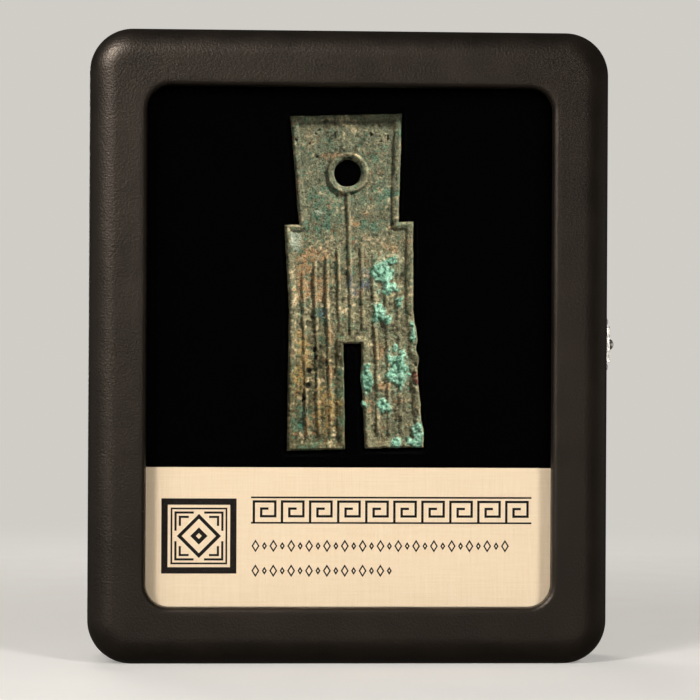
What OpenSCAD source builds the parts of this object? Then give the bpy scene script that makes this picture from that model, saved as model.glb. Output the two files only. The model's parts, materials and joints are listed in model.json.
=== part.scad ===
// A cast bronze spade coin in its glazed display case: a covered tray, a hinged
// frame lid with a glass pane, a padded bed for the coin and a push-button catch.
// Every piece is drawn lying on its back (x across, y up the case, z towards the
// glass, seam between tray and lid at z = 0), and upright() then stands it up.

/* [Case] */
// Width of the closed case
case_w = 90; // [88:1:110]
// Height of the closed case
case_h = 109.6; // [108:0.1:130]
// Depth of the lid, from the seam to its front face
lid_depth = 11.5; // [11:0.5:13]
// Depth of the tray, from the seam to its back
base_depth = 16.5; // [15:0.5:22]
// Radius of the case's corners, seen from the front
corner_r = 7.5; // [6:0.5:9]
// Radius of the rounded shoulder round the lid's front
shoulder_r = 4.6; // [3:0.1:5]
// Radius of the edge round the tray's back
back_r = 3; // [2:0.5:4]
// Thickness of the leatherette covering
skin_t = 0.6; // [0.4:0.1:0.8]

/* [Window] */
// Width of the lid's frame, from the outside to the window
border = 10; // [9.5:0.5:12]
// Radius of the window's corners
window_r = 4; // [3:0.5:6]
// Thickness of the glass
glass_t = 1.8; // [1.5:0.1:2]

/* [Coin] */
// Height of the coin, from its feet to the top of its head
coin_h = 58; // [54:0.5:60]
// Thickness of the coin over its rims
coin_t = 2.6; // [2.2:0.1:3]
// Width of the coin's rim
rim_w = 1.1; // [0.8:0.1:1.4]
// Height of the rim and the relief over the field
relief = 0.4; // [0.2:0.1:0.6]
// Diameter of the hole in the coin's head
hole_d = 4.75; // [4:0.25:5.5]
// How far the coin leans to its left, in degrees
coin_tilt = 1.8; // [0:0.1:3]

/* [Card] */
// Height of the caption card
card_h = 24.7; // [20:0.1:26]
// Thickness of the caption card
card_t = 0.4; // [0.2:0.1:0.5]

/* [Hardware] */
// Length of each hinge
hinge_l = 12; // [10:1:16]
// Distance between the middles of the two hinges
hinge_span = 60; // [40:1:70]
// Radius of the hinge's knuckles
barrel_r = 0.9; // [0.8:0.1:1]
// How far the catch's button goes in
button_travel = 0.6; // [0.4:0.1:0.7]

/* [Hidden] */
$fn = 72;
slack = 0.1;                                  // overshoot of a cutting shape

// Case: what follows from the driving sizes
seam_gap = 0.3;                               // between the lid and the tray
half_gap = seam_gap / 2;
seam_y = -(base_depth - lid_depth) / 2;       // where the seam stands, with mid-depth at y = 0
seam_r = 2;                                   // rounded edges either side of the seam
lid_wall = 5;
base_wall = lid_wall + 0.3;                   // the collar stands clear of the lid's wall by the difference
inner_r = 3;                                  // corners of the hollows
floor_t = 3.6;                                // tray floor with its covering
back_proud = 0.2;                             // the back sheet stands proud of the covering
back_margin = 8;                              // covering turned over the edge of the back
window_w = case_w - 2 * border;
window_h = case_h - 2 * border;
window_edge_r = 0.9;                          // rolled edge of the window
lip_t = 2.2;                                  // front of the lid's frame, over the glass
glass_front = lid_depth - lip_t;
glass_back = glass_front - glass_t;
retainer_t = 1.6;
retainer_w = 3.3;
retainer_r = 1.5;
side_play = 0.2;                              // glass and retainer in the lid's hollow

// Inside the tray
tray_floor = -base_depth + floor_t;
collar_t = 1.2;
collar_top = 2.5;
board_t = 1.5;
pad_play = 0.1;
pad_w = case_w - 2 * (base_wall + collar_t + pad_play);
pad_h = case_h - 2 * (base_wall + collar_t + pad_play);
pad_corner_r = 5;
pad_crown_r = 4.5;                            // rolled edge of the padded bed
pad_bottom = tray_floor + board_t;
coin_front = glass_back - 0.4;
coin_back = coin_front - coin_t;
pad_front = coin_front - 0.9;
velvet_t = 0.6;
pocket_play = 0.4;
card_w = window_w + 1.6;
card_bottom = 9.2 - case_h / 2;

// Coin: half widths and heights of the outline, from its feet up
head_top = 0.166 * coin_h;
head_bottom = 0.148 * coin_h;
shoulder = 0.192 * coin_h;
waist = 0.185 * coin_h;
foot = 0.203 * coin_h;
shoulder_h = 0.676 * coin_h;
waist_h = 0.42 * coin_h;
crotch_h = 0.315 * coin_h;
crotch_top = 1.55;
crotch_foot = 1.75;
hole_h = 0.826 * coin_h;
hole_ring_w = 1.15;
line_w = 0.6;                                 // raised lines on the faces
coin_x = 1.2;
coin_y = 37.1 - case_h / 2;
rib_count = 4;                                // plain ribs either side of the front's middle line
rib_pitch = 2.05;
rib_top = 36.2;
rib_step = 1.3;                               // each rib ends lower than the one before it
rib_foot = 2.4;

// Hinges and catch
hinge_x = -case_w / 2 + barrel_r;             // axis, with the knuckles flush with the case's side
leaf_t = skin_t;
leaf_w = lid_wall - barrel_r - 0.5;
pin_r = 0.45;
pin_play = 0.05;
end_knuckle = 3.3;
knuckle_play = 0.2;
hinge_nail = [2.5, hinge_l / 2 - 2];          // from the hinge's axis and middle
hinge_nail_l = 3.2;
nail_r = 0.35;
nail_head_r = 0.7;
nail_head_t = 0.25;
catch_up = 0.7;                               // above the middle of the case
plate_half = 3.1;                             // half length of a plate's raised middle
plate_t = 0.9;
ear_t = 0.35;
ear_r = 0.85;
ear_y = plate_half + 0.85;
strike_z = [0.35, 4.6];
housing_z = [-5, -0.35];
button_r = 1;
button_play = 0.05;
button_z = -2.7;
button_proud = 1.65;                          // tip of the button, from the housing's face
button_dome = 0.75;                           // domed part of that
flange_r = 1.3;
flange_t = 0.6;
bolt_t = 0.5;
bolt_half = 0.9;
bolt_drop = 0.6;                              // end of the bolt, below the seam
bolt_back = -button_play - flange_t - bolt_t;
bolt_room = button_travel - bolt_back + 0.4;
catch_room_r = 1.7;
catch_room_depth = 4.6;
tongue_half = 1.2;
tongue_t = 0.3;
tongue_in = 0.15;                             // gap between the tongue and the housing
tongue_depth = 1;                             // below the seam
ear_nail_l = 2.6;
ear_nail_r = 0.3;
ear_nail_head_r = 0.8;
ear_nail_head_h = 0.5;
spring_turns = 4;
spring_r = 1;
spring_wire_r = 0.15;
spring_start = -catch_room_depth;
spring_end = bolt_back - button_play;
spring_rings = 12;                            // rings along one turn
spring_sides = 6;

bronze = "#6f6a4c";
leatherette = "#2e2925";
nickel = "#c9c7c2";
steel = "#8d8d8a";
board = "#332f2b";
black_paper = "#111111";

// Stands a piece that is drawn lying down
module upright() translate([0, seam_y, case_h / 2]) rotate([90, 0, 0]) children();

// Flat rectangle with round corners
module rounded_rect(w, h, r) {
    square([w - 2 * r, h], center = true);
    square([w, h - 2 * r], center = true);
    for (x = [-1, 1], y = [-1, 1]) translate([x * (w / 2 - r), y * (h / 2 - r)]) circle(r);
}

module rounded_plate(w, h, r, z0, z1) translate([0, 0, z0]) linear_extrude(z1 - z0) rounded_rect(w, h, r);

// Carries an edge section round a rectangle with corners of radius r: its x starts at a corner's centre
module around(w, h, r) for (side = [0:3]) {
    a = (side % 2 == 0 ? w : h) / 2 - r;
    b = (side % 2 == 0 ? h : w) / 2 - r;
    rotate(90 * side) translate([a, b, 0]) {
        rotate_extrude(angle = 90) children();
        rotate([90, 0, 0]) linear_extrude(2 * b) children();
    }
}

// Edge section from y0 to y1, as wide as x1, with its outer corners rounded by r0 and r1
module edge_section(x1, y0, y1, r0, r1) difference() {
    translate([0, y0]) square([x1, y1 - y0]);
    translate([x1 - r0, y0 - slack]) difference() {
        square(r0 + slack);
        translate([0, r0 + slack]) circle(r0);
    }
    translate([x1 - r1, y1 - r1]) difference() {
        square(r1 + slack);
        circle(r1);
    }
}

// Solid block of rectangular plan with round corners and rounded edges, from z0 to z1
module soft_block(w, h, r, z0, z1, r0, r1, inset = 0) {
    around(w, h, r) edge_section(r - inset, z0, z1, r0, r1);
    translate([r - w / 2, r - h / 2, z0]) cube([w - 2 * r, h - 2 * r, z1 - z0]);
}

// Whole lid and whole tray, taken in by an inset on every side
module lid_block(inset) soft_block(
    case_w, case_h, corner_r, half_gap + inset, lid_depth - inset, seam_r - inset, shoulder_r - inset, inset);
module base_block(inset) soft_block(
    case_w, case_h, corner_r, back_proud - base_depth + inset, -half_gap - inset,
    back_r - inset, seam_r - inset, inset);

module window(grow = 0) rounded_plate(
    window_w + 2 * grow, window_h + 2 * grow, window_r + grow, 0, lid_depth + 1);

// What the rolled edge of the window leaves out of a square one
module window_rolling() around(window_w, window_h, window_r) difference() {
    translate([window_r - slack, lid_depth - window_edge_r])
        square([window_edge_r + slack, window_edge_r + slack]);
    translate([window_r + window_edge_r, lid_depth - window_edge_r]) circle(window_edge_r);
}

// Plate whose outline lies a given distance inside the case's
module inside_plate(margin, r, z0, z1) rounded_plate(case_w - 2 * margin, case_h - 2 * margin, r, z0, z1);

module lid_hollow() inside_plate(lid_wall, inner_r, -1, glass_front);
module tray_hollow(top = 1) inside_plate(base_wall, inner_r, tray_floor, top);

// Room that the two hinges take out of the lid (side 1) or the tray (side -1)
module hinge_room(side) for (y = [-1, 1] * hinge_span / 2) translate([hinge_x, y, 0]) {
    rotate([90, 0, 0]) cylinder(r = barrel_r + 0.25, h = hinge_l + 0.6, center = true);
    hinge_plate(side, 0.1);
    hinge_nail_places() mirror([0, 0, side < 0 ? 1 : 0]) cylinder(r = nail_r, h = half_gap + hinge_nail_l);
}

module hinge_plate(side, play = 0) translate([0, -hinge_l / 2 - play, side > 0 ? half_gap : -half_gap - leaf_t])
    cube([leaf_w + play, hinge_l + 2 * play, leaf_t]);

module hinge_nail_places() for (y = [-1, 1]) translate([hinge_nail[0], y * hinge_nail[1], 0]) children();

// Moves a piece of the catch to the case's side, where its plates lie on x = 0
module at_catch() translate([case_w / 2, catch_up, 0]) children();

// Turns a round piece of the catch so that its axis points out of the case
module facing_out(y, z) translate([0, y, z]) rotate([0, 90, 0]) children();

// Cap of a ball, as wide as r and h high, standing on z = 0
module dome(r, h) {
    ball_r = (r * r + h * h) / (2 * h);
    intersection() {
        translate([0, 0, h - ball_r]) sphere(ball_r);
        cylinder(r = 2 * r, h = 2 * h);
    }
}

// Room in the tray's wall for the button, its bolt and the strike's tongue
module catch_room() at_catch() {
    facing_out(0, button_z) translate([0, 0, -catch_room_depth])
        cylinder(r = catch_room_r, h = catch_room_depth + slack);
    translate([-bolt_room, -tongue_half - 0.4, button_z])
        cube([bolt_room + slack, 2 * tongue_half + 0.8, slack - button_z]);
    ear_nail_shanks(housing_z);
}

module ear_nail_places(span) for (y = [-ear_y, ear_y]) facing_out(y, (span[0] + span[1]) / 2) children();

module ear_nail_shanks(span) ear_nail_places(span) translate([0, 0, -ear_nail_l])
    cylinder(r = ear_nail_r, h = ear_nail_l + ear_t);

// Tray

module base_tray() color(board) difference() {
    base_block(skin_t);
    tray_hollow();
    hinge_room(-1);
    catch_room();
}

module base_covering() color(leatherette) difference() {
    base_block(0);
    base_block(skin_t);
    tray_hollow();
    inside_plate(back_margin, inner_r, -base_depth - 1, tray_floor);
    hinge_room(-1);
    catch_room();
}

module back_sheet() color(black_paper)
    inside_plate(back_margin + side_play / 2, inner_r, -base_depth, -base_depth + back_proud + skin_t);

module inner_collar() color(black_paper) difference() {
    tray_hollow(collar_top);
    inside_plate(base_wall + collar_t, inner_r - collar_t, tray_floor - 1, collar_top + 1);
}

module pad_board() color(board) rounded_plate(pad_w, pad_h, inner_r - collar_t, tray_floor, pad_bottom);

// Padded bed, and the pocket that the coin has pressed into it
module pad_block(inset) soft_block(pad_w, pad_h, pad_corner_r, pad_bottom, pad_front - inset,
                                   slack, pad_crown_r - inset, inset);
module coin_pocket(grow, sink) place_coin() translate([0, 0, -sink])
    linear_extrude(coin_t + 2) polygon(grown(coin_outline(), pocket_play + grow));

module pad_foam() color("#3a3a3a") difference() {
    pad_block(velvet_t);
    coin_pocket(velvet_t, velvet_t);
}

module pad_velvet() color("#060606") difference() {
    pad_block(0);
    coin_pocket(0, 0);
    difference() {
        pad_block(velvet_t);
        coin_pocket(velvet_t, velvet_t);
    }
}

module caption_card() color("#f0dcbc") translate([-card_w / 2, card_bottom, pad_front])
    cube([card_w, card_h, card_t]);

// Coin

module place_coin() translate([coin_x, coin_y, coin_back]) rotate(coin_tilt) children();

// Outline of the coin: head, shoulders, waist, and two feet either side of the crotch
function half_outline() = [
    [crotch_top, crotch_h], [crotch_foot, 0], [foot, 0], [waist, waist_h], [shoulder, shoulder_h],
    [head_bottom, shoulder_h], [head_top, coin_h],
];
function coin_outline() = let (half = half_outline())
    concat(half, [for (i = [len(half) - 1:-1:0]) [-half[i][0], half[i][1]]]);

// A closed outline moved outwards by d: each corner goes to where its two moved sides meet
function side_normal(p, q) = let (v = q - p) [v[1], -v[0]] / norm(v);
function grown(points, d) = [for (i = [0:len(points) - 1])
    let (n = len(points), before = points[(i + n - 1) % n], here = points[i], after = points[(i + 1) % n],
         a = side_normal(before, here), b = side_normal(here, after))
    here + d * (a + b) / (1 + a * b)];

module coin_line(from, to) {
    way = to - from;
    translate(from) rotate(atan2(way[1], way[0])) translate([0, -line_w / 2]) square([norm(way), line_w]);
}

// Relief of both faces: rim, ring round the hole and the line below it
module common_relief() {
    difference() {
        polygon(coin_outline());
        polygon(grown(coin_outline(), -rim_w));
    }
    translate([0, hole_h]) circle(hole_d / 2 + hole_ring_w);
    coin_line([0, crotch_h], [0, hole_h - hole_d / 2]);
}

// Plain raised ribs on the front
module front_ribs() for (side = [-1, 1], i = [1:rib_count]) {
    x = i * rib_pitch;
    foot_z = x > crotch_foot + rim_w ? rib_foot : crotch_h + rim_w + 1;
    coin_line([side * x, foot_z], [side * x, rib_top - i * rib_step]);
}

module spade_coin() color(bronze) place_coin() difference() {
    union() {
        translate([0, 0, relief]) linear_extrude(coin_t - 2 * relief) polygon(coin_outline());
        linear_extrude(coin_t) common_relief();
        translate([0, 0, coin_t / 2]) linear_extrude(coin_t / 2) front_ribs();
    }
    translate([0, hole_h, -slack]) cylinder(d = hole_d, h = coin_t + 2 * slack);
}

// Lid

module lid_frame() color(board) difference() {
    lid_block(skin_t);
    window(skin_t);
    lid_hollow();
    hinge_room(1);
    at_catch() ear_nail_shanks(strike_z);
}

module lid_covering() color(leatherette) difference() {
    lid_block(0);
    window();
    window_rolling();
    difference() {
        lid_block(skin_t);
        window(skin_t);
    }
    lid_hollow();
    hinge_room(1);
    at_catch() ear_nail_shanks(strike_z);
}

module glass_pane() color("#dfe8e6", 0.35) inside_plate(lid_wall + side_play, inner_r, glass_back, glass_front);

module glass_retainer() color(black_paper) difference() {
    inside_plate(lid_wall + side_play, inner_r, glass_back - retainer_t, glass_back);
    inside_plate(lid_wall + side_play + retainer_w, retainer_r, 0, glass_back + 1);
}

// Hinges

// Moves a hinge's piece to the upper (1) or the lower (-1) hinge
module at_hinge(which) translate([hinge_x, which * hinge_span / 2, 0]) children();

module knuckle(y0, y1, r) translate([0, y1, 0]) rotate([90, 0, 0]) cylinder(r = r, h = y1 - y0);

module base_knuckles(r, play) for (y = [-1, 1]) mirror([0, y < 0 ? 1 : 0, 0])
    knuckle(hinge_l / 2 - end_knuckle - play, hinge_l / 2 + play, r);
module lid_knuckle(r, play) knuckle(end_knuckle + knuckle_play - hinge_l / 2 - play,
                                    hinge_l / 2 - end_knuckle - knuckle_play + play, r);

module nail_in_leaf(side) hinge_nail_places() mirror([0, 0, side < 0 ? 1 : 0]) translate([0, 0, half_gap]) {
    cylinder(r = nail_head_r, h = nail_head_t);
    cylinder(r = nail_r, h = hinge_nail_l);
}

module hinge_base_leaf() color(nickel) difference() {
    union() {
        difference() {
            hinge_plate(-1);
            lid_knuckle(barrel_r + knuckle_play, knuckle_play);
        }
        base_knuckles(barrel_r, 0);
    }
    knuckle(-hinge_l, hinge_l, pin_r);
    nail_in_leaf(-1);
}

module hinge_lid_leaf() color(nickel) difference() {
    union() {
        difference() {
            hinge_plate(1);
            base_knuckles(barrel_r + knuckle_play, knuckle_play);
        }
        lid_knuckle(barrel_r, 0);
    }
    knuckle(-hinge_l, hinge_l, pin_r + pin_play);
    nail_in_leaf(1);
}

module hinge_pin() color(steel) knuckle(-hinge_l / 2 - 0.15, hinge_l / 2 + 0.15, pin_r);

module hinge_nails(side) color(nickel) for (which = [-1, 1]) at_hinge(which) nail_in_leaf(side);

// Catch

// Plate with a raised middle and two round ears, between two places along z
module eared_plate(span) difference() {
    union() {
        translate([0, -plate_half, span[0]]) cube([plate_t, 2 * plate_half, span[1] - span[0]]);
        ear_nail_places(span) cylinder(r = ear_r, h = ear_t);
        facing_out(0, (span[0] + span[1]) / 2) translate([-ear_r, -ear_y, 0])
            cube([2 * ear_r, 2 * ear_y, ear_t]);
    }
    ear_nail_shanks(span);
}

// Strike on the lid, with a tongue that goes down behind the housing
module strike_plate() color(nickel) {
    eared_plate(strike_z);
    translate([-tongue_in - tongue_t, -tongue_half, strike_z[0]]) {
        cube([tongue_in + tongue_t + slack, 2 * tongue_half, 0.5]);
        translate([0, 0, -tongue_depth - strike_z[0]])
            cube([tongue_t, 2 * tongue_half, tongue_depth + strike_z[0] + 0.4]);
    }
}

module ear_nails(span) color(nickel) {
    ear_nail_shanks(span);
    ear_nail_places(span) translate([0, 0, ear_t]) dome(ear_nail_head_r, ear_nail_head_h);
}

module catch_housing() color(nickel) difference() {
    eared_plate(housing_z);
    facing_out(0, button_z) translate([0, 0, -slack])
        cylinder(r = button_r + button_play, h = plate_t + 2 * slack);
}

// Button with a domed head, and a flange that keeps it behind the housing
module catch_button() color(nickel) facing_out(0, button_z) {
    stem = plate_t + button_proud - button_dome;
    translate([0, 0, -button_play]) cylinder(r = button_r, h = stem + button_play);
    translate([0, 0, -button_play - flange_t]) cylinder(r = flange_r, h = flange_t);
    translate([0, 0, stem]) dome(button_r, button_dome);
}

// Bolt behind the flange, reaching to the seam beside the strike's tongue
module catch_bolt() color(steel) translate([bolt_back, -bolt_half, button_z - bolt_half])
    cube([bolt_t, 2 * bolt_half, bolt_half - button_z - bolt_drop]);

// Coil spring behind the bolt: one round wire along a helix
function spring_point(i) = let (share = i / (spring_turns * spring_rings))
    [spring_start + spring_wire_r + share * (spring_end - spring_start - 2 * spring_wire_r),
     spring_r * cos(360 * spring_turns * share), button_z + spring_r * sin(360 * spring_turns * share)];
function spring_ring(i) = let (turn = 360 * i / spring_rings, centre = spring_point(i))
    [for (s = [0:spring_sides - 1]) let (a = 360 * s / spring_sides)
        centre + spring_wire_r * [sin(a), cos(a) * cos(turn), cos(a) * sin(turn)]];

module catch_spring() color(steel) {
    last = spring_turns * spring_rings;
    points = [for (i = [0:last]) each spring_ring(i)];
    walls = [for (i = [0:last - 1], s = [0:spring_sides - 1])
        let (t = (s + 1) % spring_sides, a = i * spring_sides, b = a + spring_sides)
        each [[a + s, a + t, b + t], [a + s, b + t, b + s]]];
    ends = [[for (s = [spring_sides - 1:-1:0]) s], [for (s = [0:spring_sides - 1]) last * spring_sides + s]];
    polyhedron(points, concat(walls, ends));
}

upright() base_tray();
upright() base_covering();
upright() back_sheet();
upright() inner_collar();
upright() pad_board();
upright() pad_foam();
upright() pad_velvet();
upright() caption_card();
upright() spade_coin();
upright() lid_frame();
upright() lid_covering();
upright() glass_pane();
upright() glass_retainer();
upright() at_hinge(1) hinge_base_leaf();  // upper_hinge_base_leaf
upright() at_hinge(1) hinge_lid_leaf();  // upper_hinge_lid_leaf
upright() at_hinge(1) hinge_pin();  // upper_hinge_pin
upright() at_hinge(-1) hinge_base_leaf();  // lower_hinge_base_leaf
upright() at_hinge(-1) hinge_lid_leaf();  // lower_hinge_lid_leaf
upright() at_hinge(-1) hinge_pin();  // lower_hinge_pin
upright() hinge_nails(-1);  // hinge_base_nails
upright() hinge_nails(1);  // hinge_lid_nails
upright() at_catch() strike_plate();
upright() at_catch() ear_nails(strike_z);  // strike_nails
upright() at_catch() catch_housing();
upright() at_catch() ear_nails(housing_z);  // catch_nails
upright() at_catch() catch_button();
upright() at_catch() catch_bolt();
upright() at_catch() catch_spring();
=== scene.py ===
"""Cased spade coin: the finished look of every piece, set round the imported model.

Lengths are in millimetres until a mesh is made. X runs across the case, Y from its glass to its back and
Z up. The coin also has its own two directions, across from its middle line and up from its feet.
"""
import json
import math

import bmesh
import bpy
import numpy as np
from mathutils import Matrix, Vector

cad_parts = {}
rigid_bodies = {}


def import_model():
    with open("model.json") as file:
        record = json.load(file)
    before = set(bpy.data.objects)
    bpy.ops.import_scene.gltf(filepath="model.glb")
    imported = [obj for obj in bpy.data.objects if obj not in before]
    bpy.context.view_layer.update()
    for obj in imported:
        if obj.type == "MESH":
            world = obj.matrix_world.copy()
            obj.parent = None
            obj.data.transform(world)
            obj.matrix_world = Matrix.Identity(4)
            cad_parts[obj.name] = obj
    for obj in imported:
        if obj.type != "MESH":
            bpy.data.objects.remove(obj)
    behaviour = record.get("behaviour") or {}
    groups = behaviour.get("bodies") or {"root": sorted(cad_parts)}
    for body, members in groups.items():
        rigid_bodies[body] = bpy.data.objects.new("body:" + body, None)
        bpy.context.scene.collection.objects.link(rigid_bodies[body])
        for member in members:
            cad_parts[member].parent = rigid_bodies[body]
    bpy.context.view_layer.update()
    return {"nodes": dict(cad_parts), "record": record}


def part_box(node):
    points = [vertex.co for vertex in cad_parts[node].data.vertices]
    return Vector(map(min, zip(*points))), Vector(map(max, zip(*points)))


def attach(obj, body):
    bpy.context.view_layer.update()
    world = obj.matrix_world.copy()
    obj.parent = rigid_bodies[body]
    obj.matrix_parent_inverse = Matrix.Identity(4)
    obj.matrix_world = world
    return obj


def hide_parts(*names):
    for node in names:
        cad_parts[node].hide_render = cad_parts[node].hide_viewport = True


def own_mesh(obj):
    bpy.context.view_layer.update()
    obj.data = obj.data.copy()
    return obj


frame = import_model()

MM = 0.001


def box_mm(node):
    """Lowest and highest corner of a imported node, in millimetres."""
    low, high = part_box(node)
    return np.array(low) / MM, np.array(high) / MM


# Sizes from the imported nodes
lid_low, lid_high = box_mm("lid_covering")
base_low, base_high = box_mm("base_covering")
glass_low, _ = box_mm("glass_pane")
coin_low, coin_high = box_mm("spade_coin")
pad_low, pad_high = box_mm("pad_velvet")
card_low, _ = box_mm("caption_card")
_, hinge_high = box_mm("upper_hinge_base_leaf")
pin_low, pin_high = box_mm("upper_hinge_pin")
low_pin_low, low_pin_high = box_mm("lower_hinge_pin")
button_low, button_high = box_mm("catch_button")
CASE_W = lid_high[0] - lid_low[0]
CASE_H = lid_high[2] - lid_low[2]

# Case: sizes that the boxes don't give
CORNER_R = 7.5            # corners of the case, seen from the front
SHOULDER_R = 4.6          # rounding round the lid's front
SEAM_R = 2.0              # roundings either side of the seam
BACK_R = 3.0              # rounding round the tray's back
SKIN = 0.6                # thickness of the leatherette
BORDER = 10.0             # width of the lid's frame
WINDOW_R = 4.0            # corners of the window
WINDOW_EDGE_R = 0.9       # rolled edge of the window
LID_WALL = 5.0
BASE_WALL = 5.3
INNER_R = 3.0             # corners of the hollows
BACK_MARGIN = 8.0         # leatherette turned over the edge of the back
SKIN_STEP = 0.62          # spacing of the leatherette's points along the sides
SECTION_STEP = 0.75       # and along its section
CORNER_STEPS = 22         # points round each corner
SKIN_WAVE = 0.06          # depth of its slow waves
WAY_UNIT = 100.0          # length of one unit of its UV map

# Rounded edges of the small pieces
PLATE_EDGE = 0.14
LEAF_EDGE = 0.07
PANE_EDGE = 0.15
FELT_EDGE = 0.25
CARD_EDGE = 0.08
HARD_EDGE = 35.0          # angle from which an edge is rounded, in degrees
MERGE_GAP = 0.002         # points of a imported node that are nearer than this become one

# Coin: half widths and heights of its outline, up from its feet
COIN_H = 58.0
HEAD_TOP = 0.166 * COIN_H
HEAD_BOTTOM = 0.148 * COIN_H
SHOULDER = 0.192 * COIN_H
WAIST = 0.185 * COIN_H
FOOT = 0.203 * COIN_H
SHOULDER_H = 0.676 * COIN_H
WAIST_H = 0.42 * COIN_H
CROTCH_H = 0.315 * COIN_H
CROTCH_TOP = 1.55
CROTCH_FOOT = 1.75
HOLE_H = 0.826 * COIN_H
HOLE_R = 2.375
HOLE_RING_W = 1.4
RIM_CREST = 0.35          # highest line of the rim, in from the edge
RIM_BROW = 0.95           # inner end of the rim's sloping top
RIM_W = 1.4               # foot of the rim's steep inner slope
RIM_FALL = 0.3            # share of its height that the rim's top falls inwards
RING_CREST = 0.95         # highest line of the ring, out from the hole
RELIEF = 0.7              # height of the rim over the field, which is worn below the plain solid's
COIN_EDGE_R = 0.5         # worn edge of the rim
RIB_COUNT = 4
RIB_PITCH = 2.05
RIB_TOP = 36.2
RIB_STEP = 1.3            # each rib ends lower than the one before it
RIB_FOOT = 2.4
RIB_HALF = 0.46           # half width of a rib
RIB_SHARE = 0.7           # its height, as a share of the rim's
LINE_HALF = 0.5           # the same for the line below the ring
LINE_SHARE = 0.75
COIN_X = 1.2              # middle of the coin's feet, in the case
COIN_Z = 37.1
COIN_TILT = math.radians(1.8)
COIN_STEP = 0.16          # spacing of the coin's points
COIN_WALL_ROWS = 5
COIN_MARGIN = 1.5         # room round the coin in its grid
LUMP_LIMIT = 0.28         # how far a crust may stand over the rim

# Padded bed
PAD_CORNER_R = 5.0
PAD_CROWN_R = 4.5         # rolled edge round its front
PAD_WAVE = 0.07           # height of its slow waves
PAD_STEP = 0.52           # spacing of its points
PAD_MARGIN = 1.0          # room round the bed in its grid
PAD_WALL_ROWS = 8
POCKET_FLOOR = coin_high[1] + 0.02
POCKET_FOOT = 0.35        # foot of the pocket's side, out from the coin
POCKET_BROW = 1.05        # top of the pocket's side

# Places on the coin's front: across, up, half width, half height
CASTING_PITS = [
    (-8.5, 53.9, 0.3, 0.3), (-6.4, 53.4, 0.35, 0.3), (-5.1, 55.0, 0.3, 0.35), (-4.6, 55.5, 0.35, 0.25),
    (-5.1, 50.7, 0.3, 0.3), (4.3, 54.8, 0.5, 0.7), (7.1, 53.8, 0.4, 0.7), (5.7, 53.5, 0.35, 0.3),
    (4.6, 54.0, 0.3, 0.35), (-6.5, 17.5, 0.5, 0.6), (-6.3, 16.1, 0.45, 0.6), (-7.7, 14.0, 0.6, 0.8),
    (-7.8, 11.2, 0.35, 0.7), (-8.9, 8.9, 0.35, 0.8), (-8.4, 6.9, 0.3, 0.9),
]
TURQUOISE_CRUSTS = [
    (5.6, 30.4, 1.6, 2.1), (7.4, 32.6, 0.9, 0.8), (6.7, 27.7, 1.3, 0.9), (8.2, 25.2, 0.6, 0.8),
    (4.7, 23.5, 0.9, 1.5), (6.1, 22.4, 0.9, 0.6), (10.5, 20.1, 0.45, 1.9), (7.3, 17.5, 0.5, 0.7),
    (7.7, 13.9, 1.8, 2.6), (2.2, 12.2, 0.9, 2.2), (1.6, 7.8, 0.5, 0.7), (5.0, 7.5, 0.9, 1.4),
    (11.1, 2.2, 0.8, 2.1), (7.3, 1.0, 0.9, 0.6), (9.7, 1.1, 0.7, 0.5),
]
GREEN_STAINS = [
    (-4.5, 44.7, 2.6, 1.2), (-4.0, 41.7, 2.4, 2.0), (5.8, 44.3, 1.8, 1.6), (0.9, 44.8, 0.8, 0.6),
    (3.9, 38.6, 2.6, 0.9), (-5.9, 38.6, 1.8, 1.1), (-8.6, 35.6, 1.0, 0.8), (-9.6, 5.3, 1.0, 2.2),
    (-8.1, 6.5, 0.9, 1.2), (-5.2, 23.3, 1.0, 1.3), (-8.4, 25.4, 0.7, 1.9), (-7.4, 30.0, 0.5, 2.4),
]
RUST_STAINS = [
    (-6.1, 34.0, 2.4, 1.2), (-7.6, 30.7, 1.5, 2.6), (-7.8, 27.7, 1.6, 2.2), (-3.6, 20.0, 0.5, 1.6),
    (-3.7, 13.1, 0.5, 1.7), (-8.3, 4.7, 0.5, 1.6), (2.8, 7.7, 1.0, 1.2), (5.3, 10.7, 0.9, 0.8),
    (4.8, 16.4, 0.8, 1.4), (6.8, 34.8, 1.1, 0.7), (1.0, 39.1, 0.7, 0.5), (-4.8, 28.2, 1.0, 2.0),
]
OCHRE_STAINS = [
    (-8.4, 16.7, 1.1, 2.2), (-9.5, 12.8, 0.9, 2.4), (-4.6, 7.6, 1.7, 3.0), (-9.2, 19.6, 0.7, 1.2),
]
BLUE_STAINS = [
    (2.3, 29.8, 0.9, 2.4), (-0.1, 29.5, 0.5, 1.6), (0.7, 27.5, 0.6, 1.2), (-5.2, 23.6, 0.7, 0.7),
]
DARK_RED_STAINS = [
    (1.9, 9.4, 0.35, 0.5), (10.8, 12.3, 0.5, 1.3), (10.8, 0.4, 0.7, 0.35), (0.5, 36.1, 0.3, 0.3),
]
PALE_CRUSTS = [(-9.1, 36.6, 1.3, 1.3), (-8.6, 35.2, 0.9, 0.8), (-5.0, 41.2, 0.7, 0.5)]
ROUGH_PATCHES = [(8.3, 4.8, 3.2, 3.0), (9.0, 9.4, 2.0, 1.6), (3.2, 9.4, 1.6, 2.0), (7.6, 20.4, 2.6, 2.0)]
EDGE_BULGES = [           # across, up, swelling, reach
    (10.9, 18.6, 0.35, 0.9), (11.2, 15.3, 0.5, 1.0), (10.9, 7.7, 0.25, 1.2), (10.8, 20.2, 0.3, 1.2),
    (11.7, 2.4, 0.35, 1.6), (1.5, 12.2, 0.3, 1.6), (1.4, 7.8, 0.45, 0.6),
]

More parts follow.
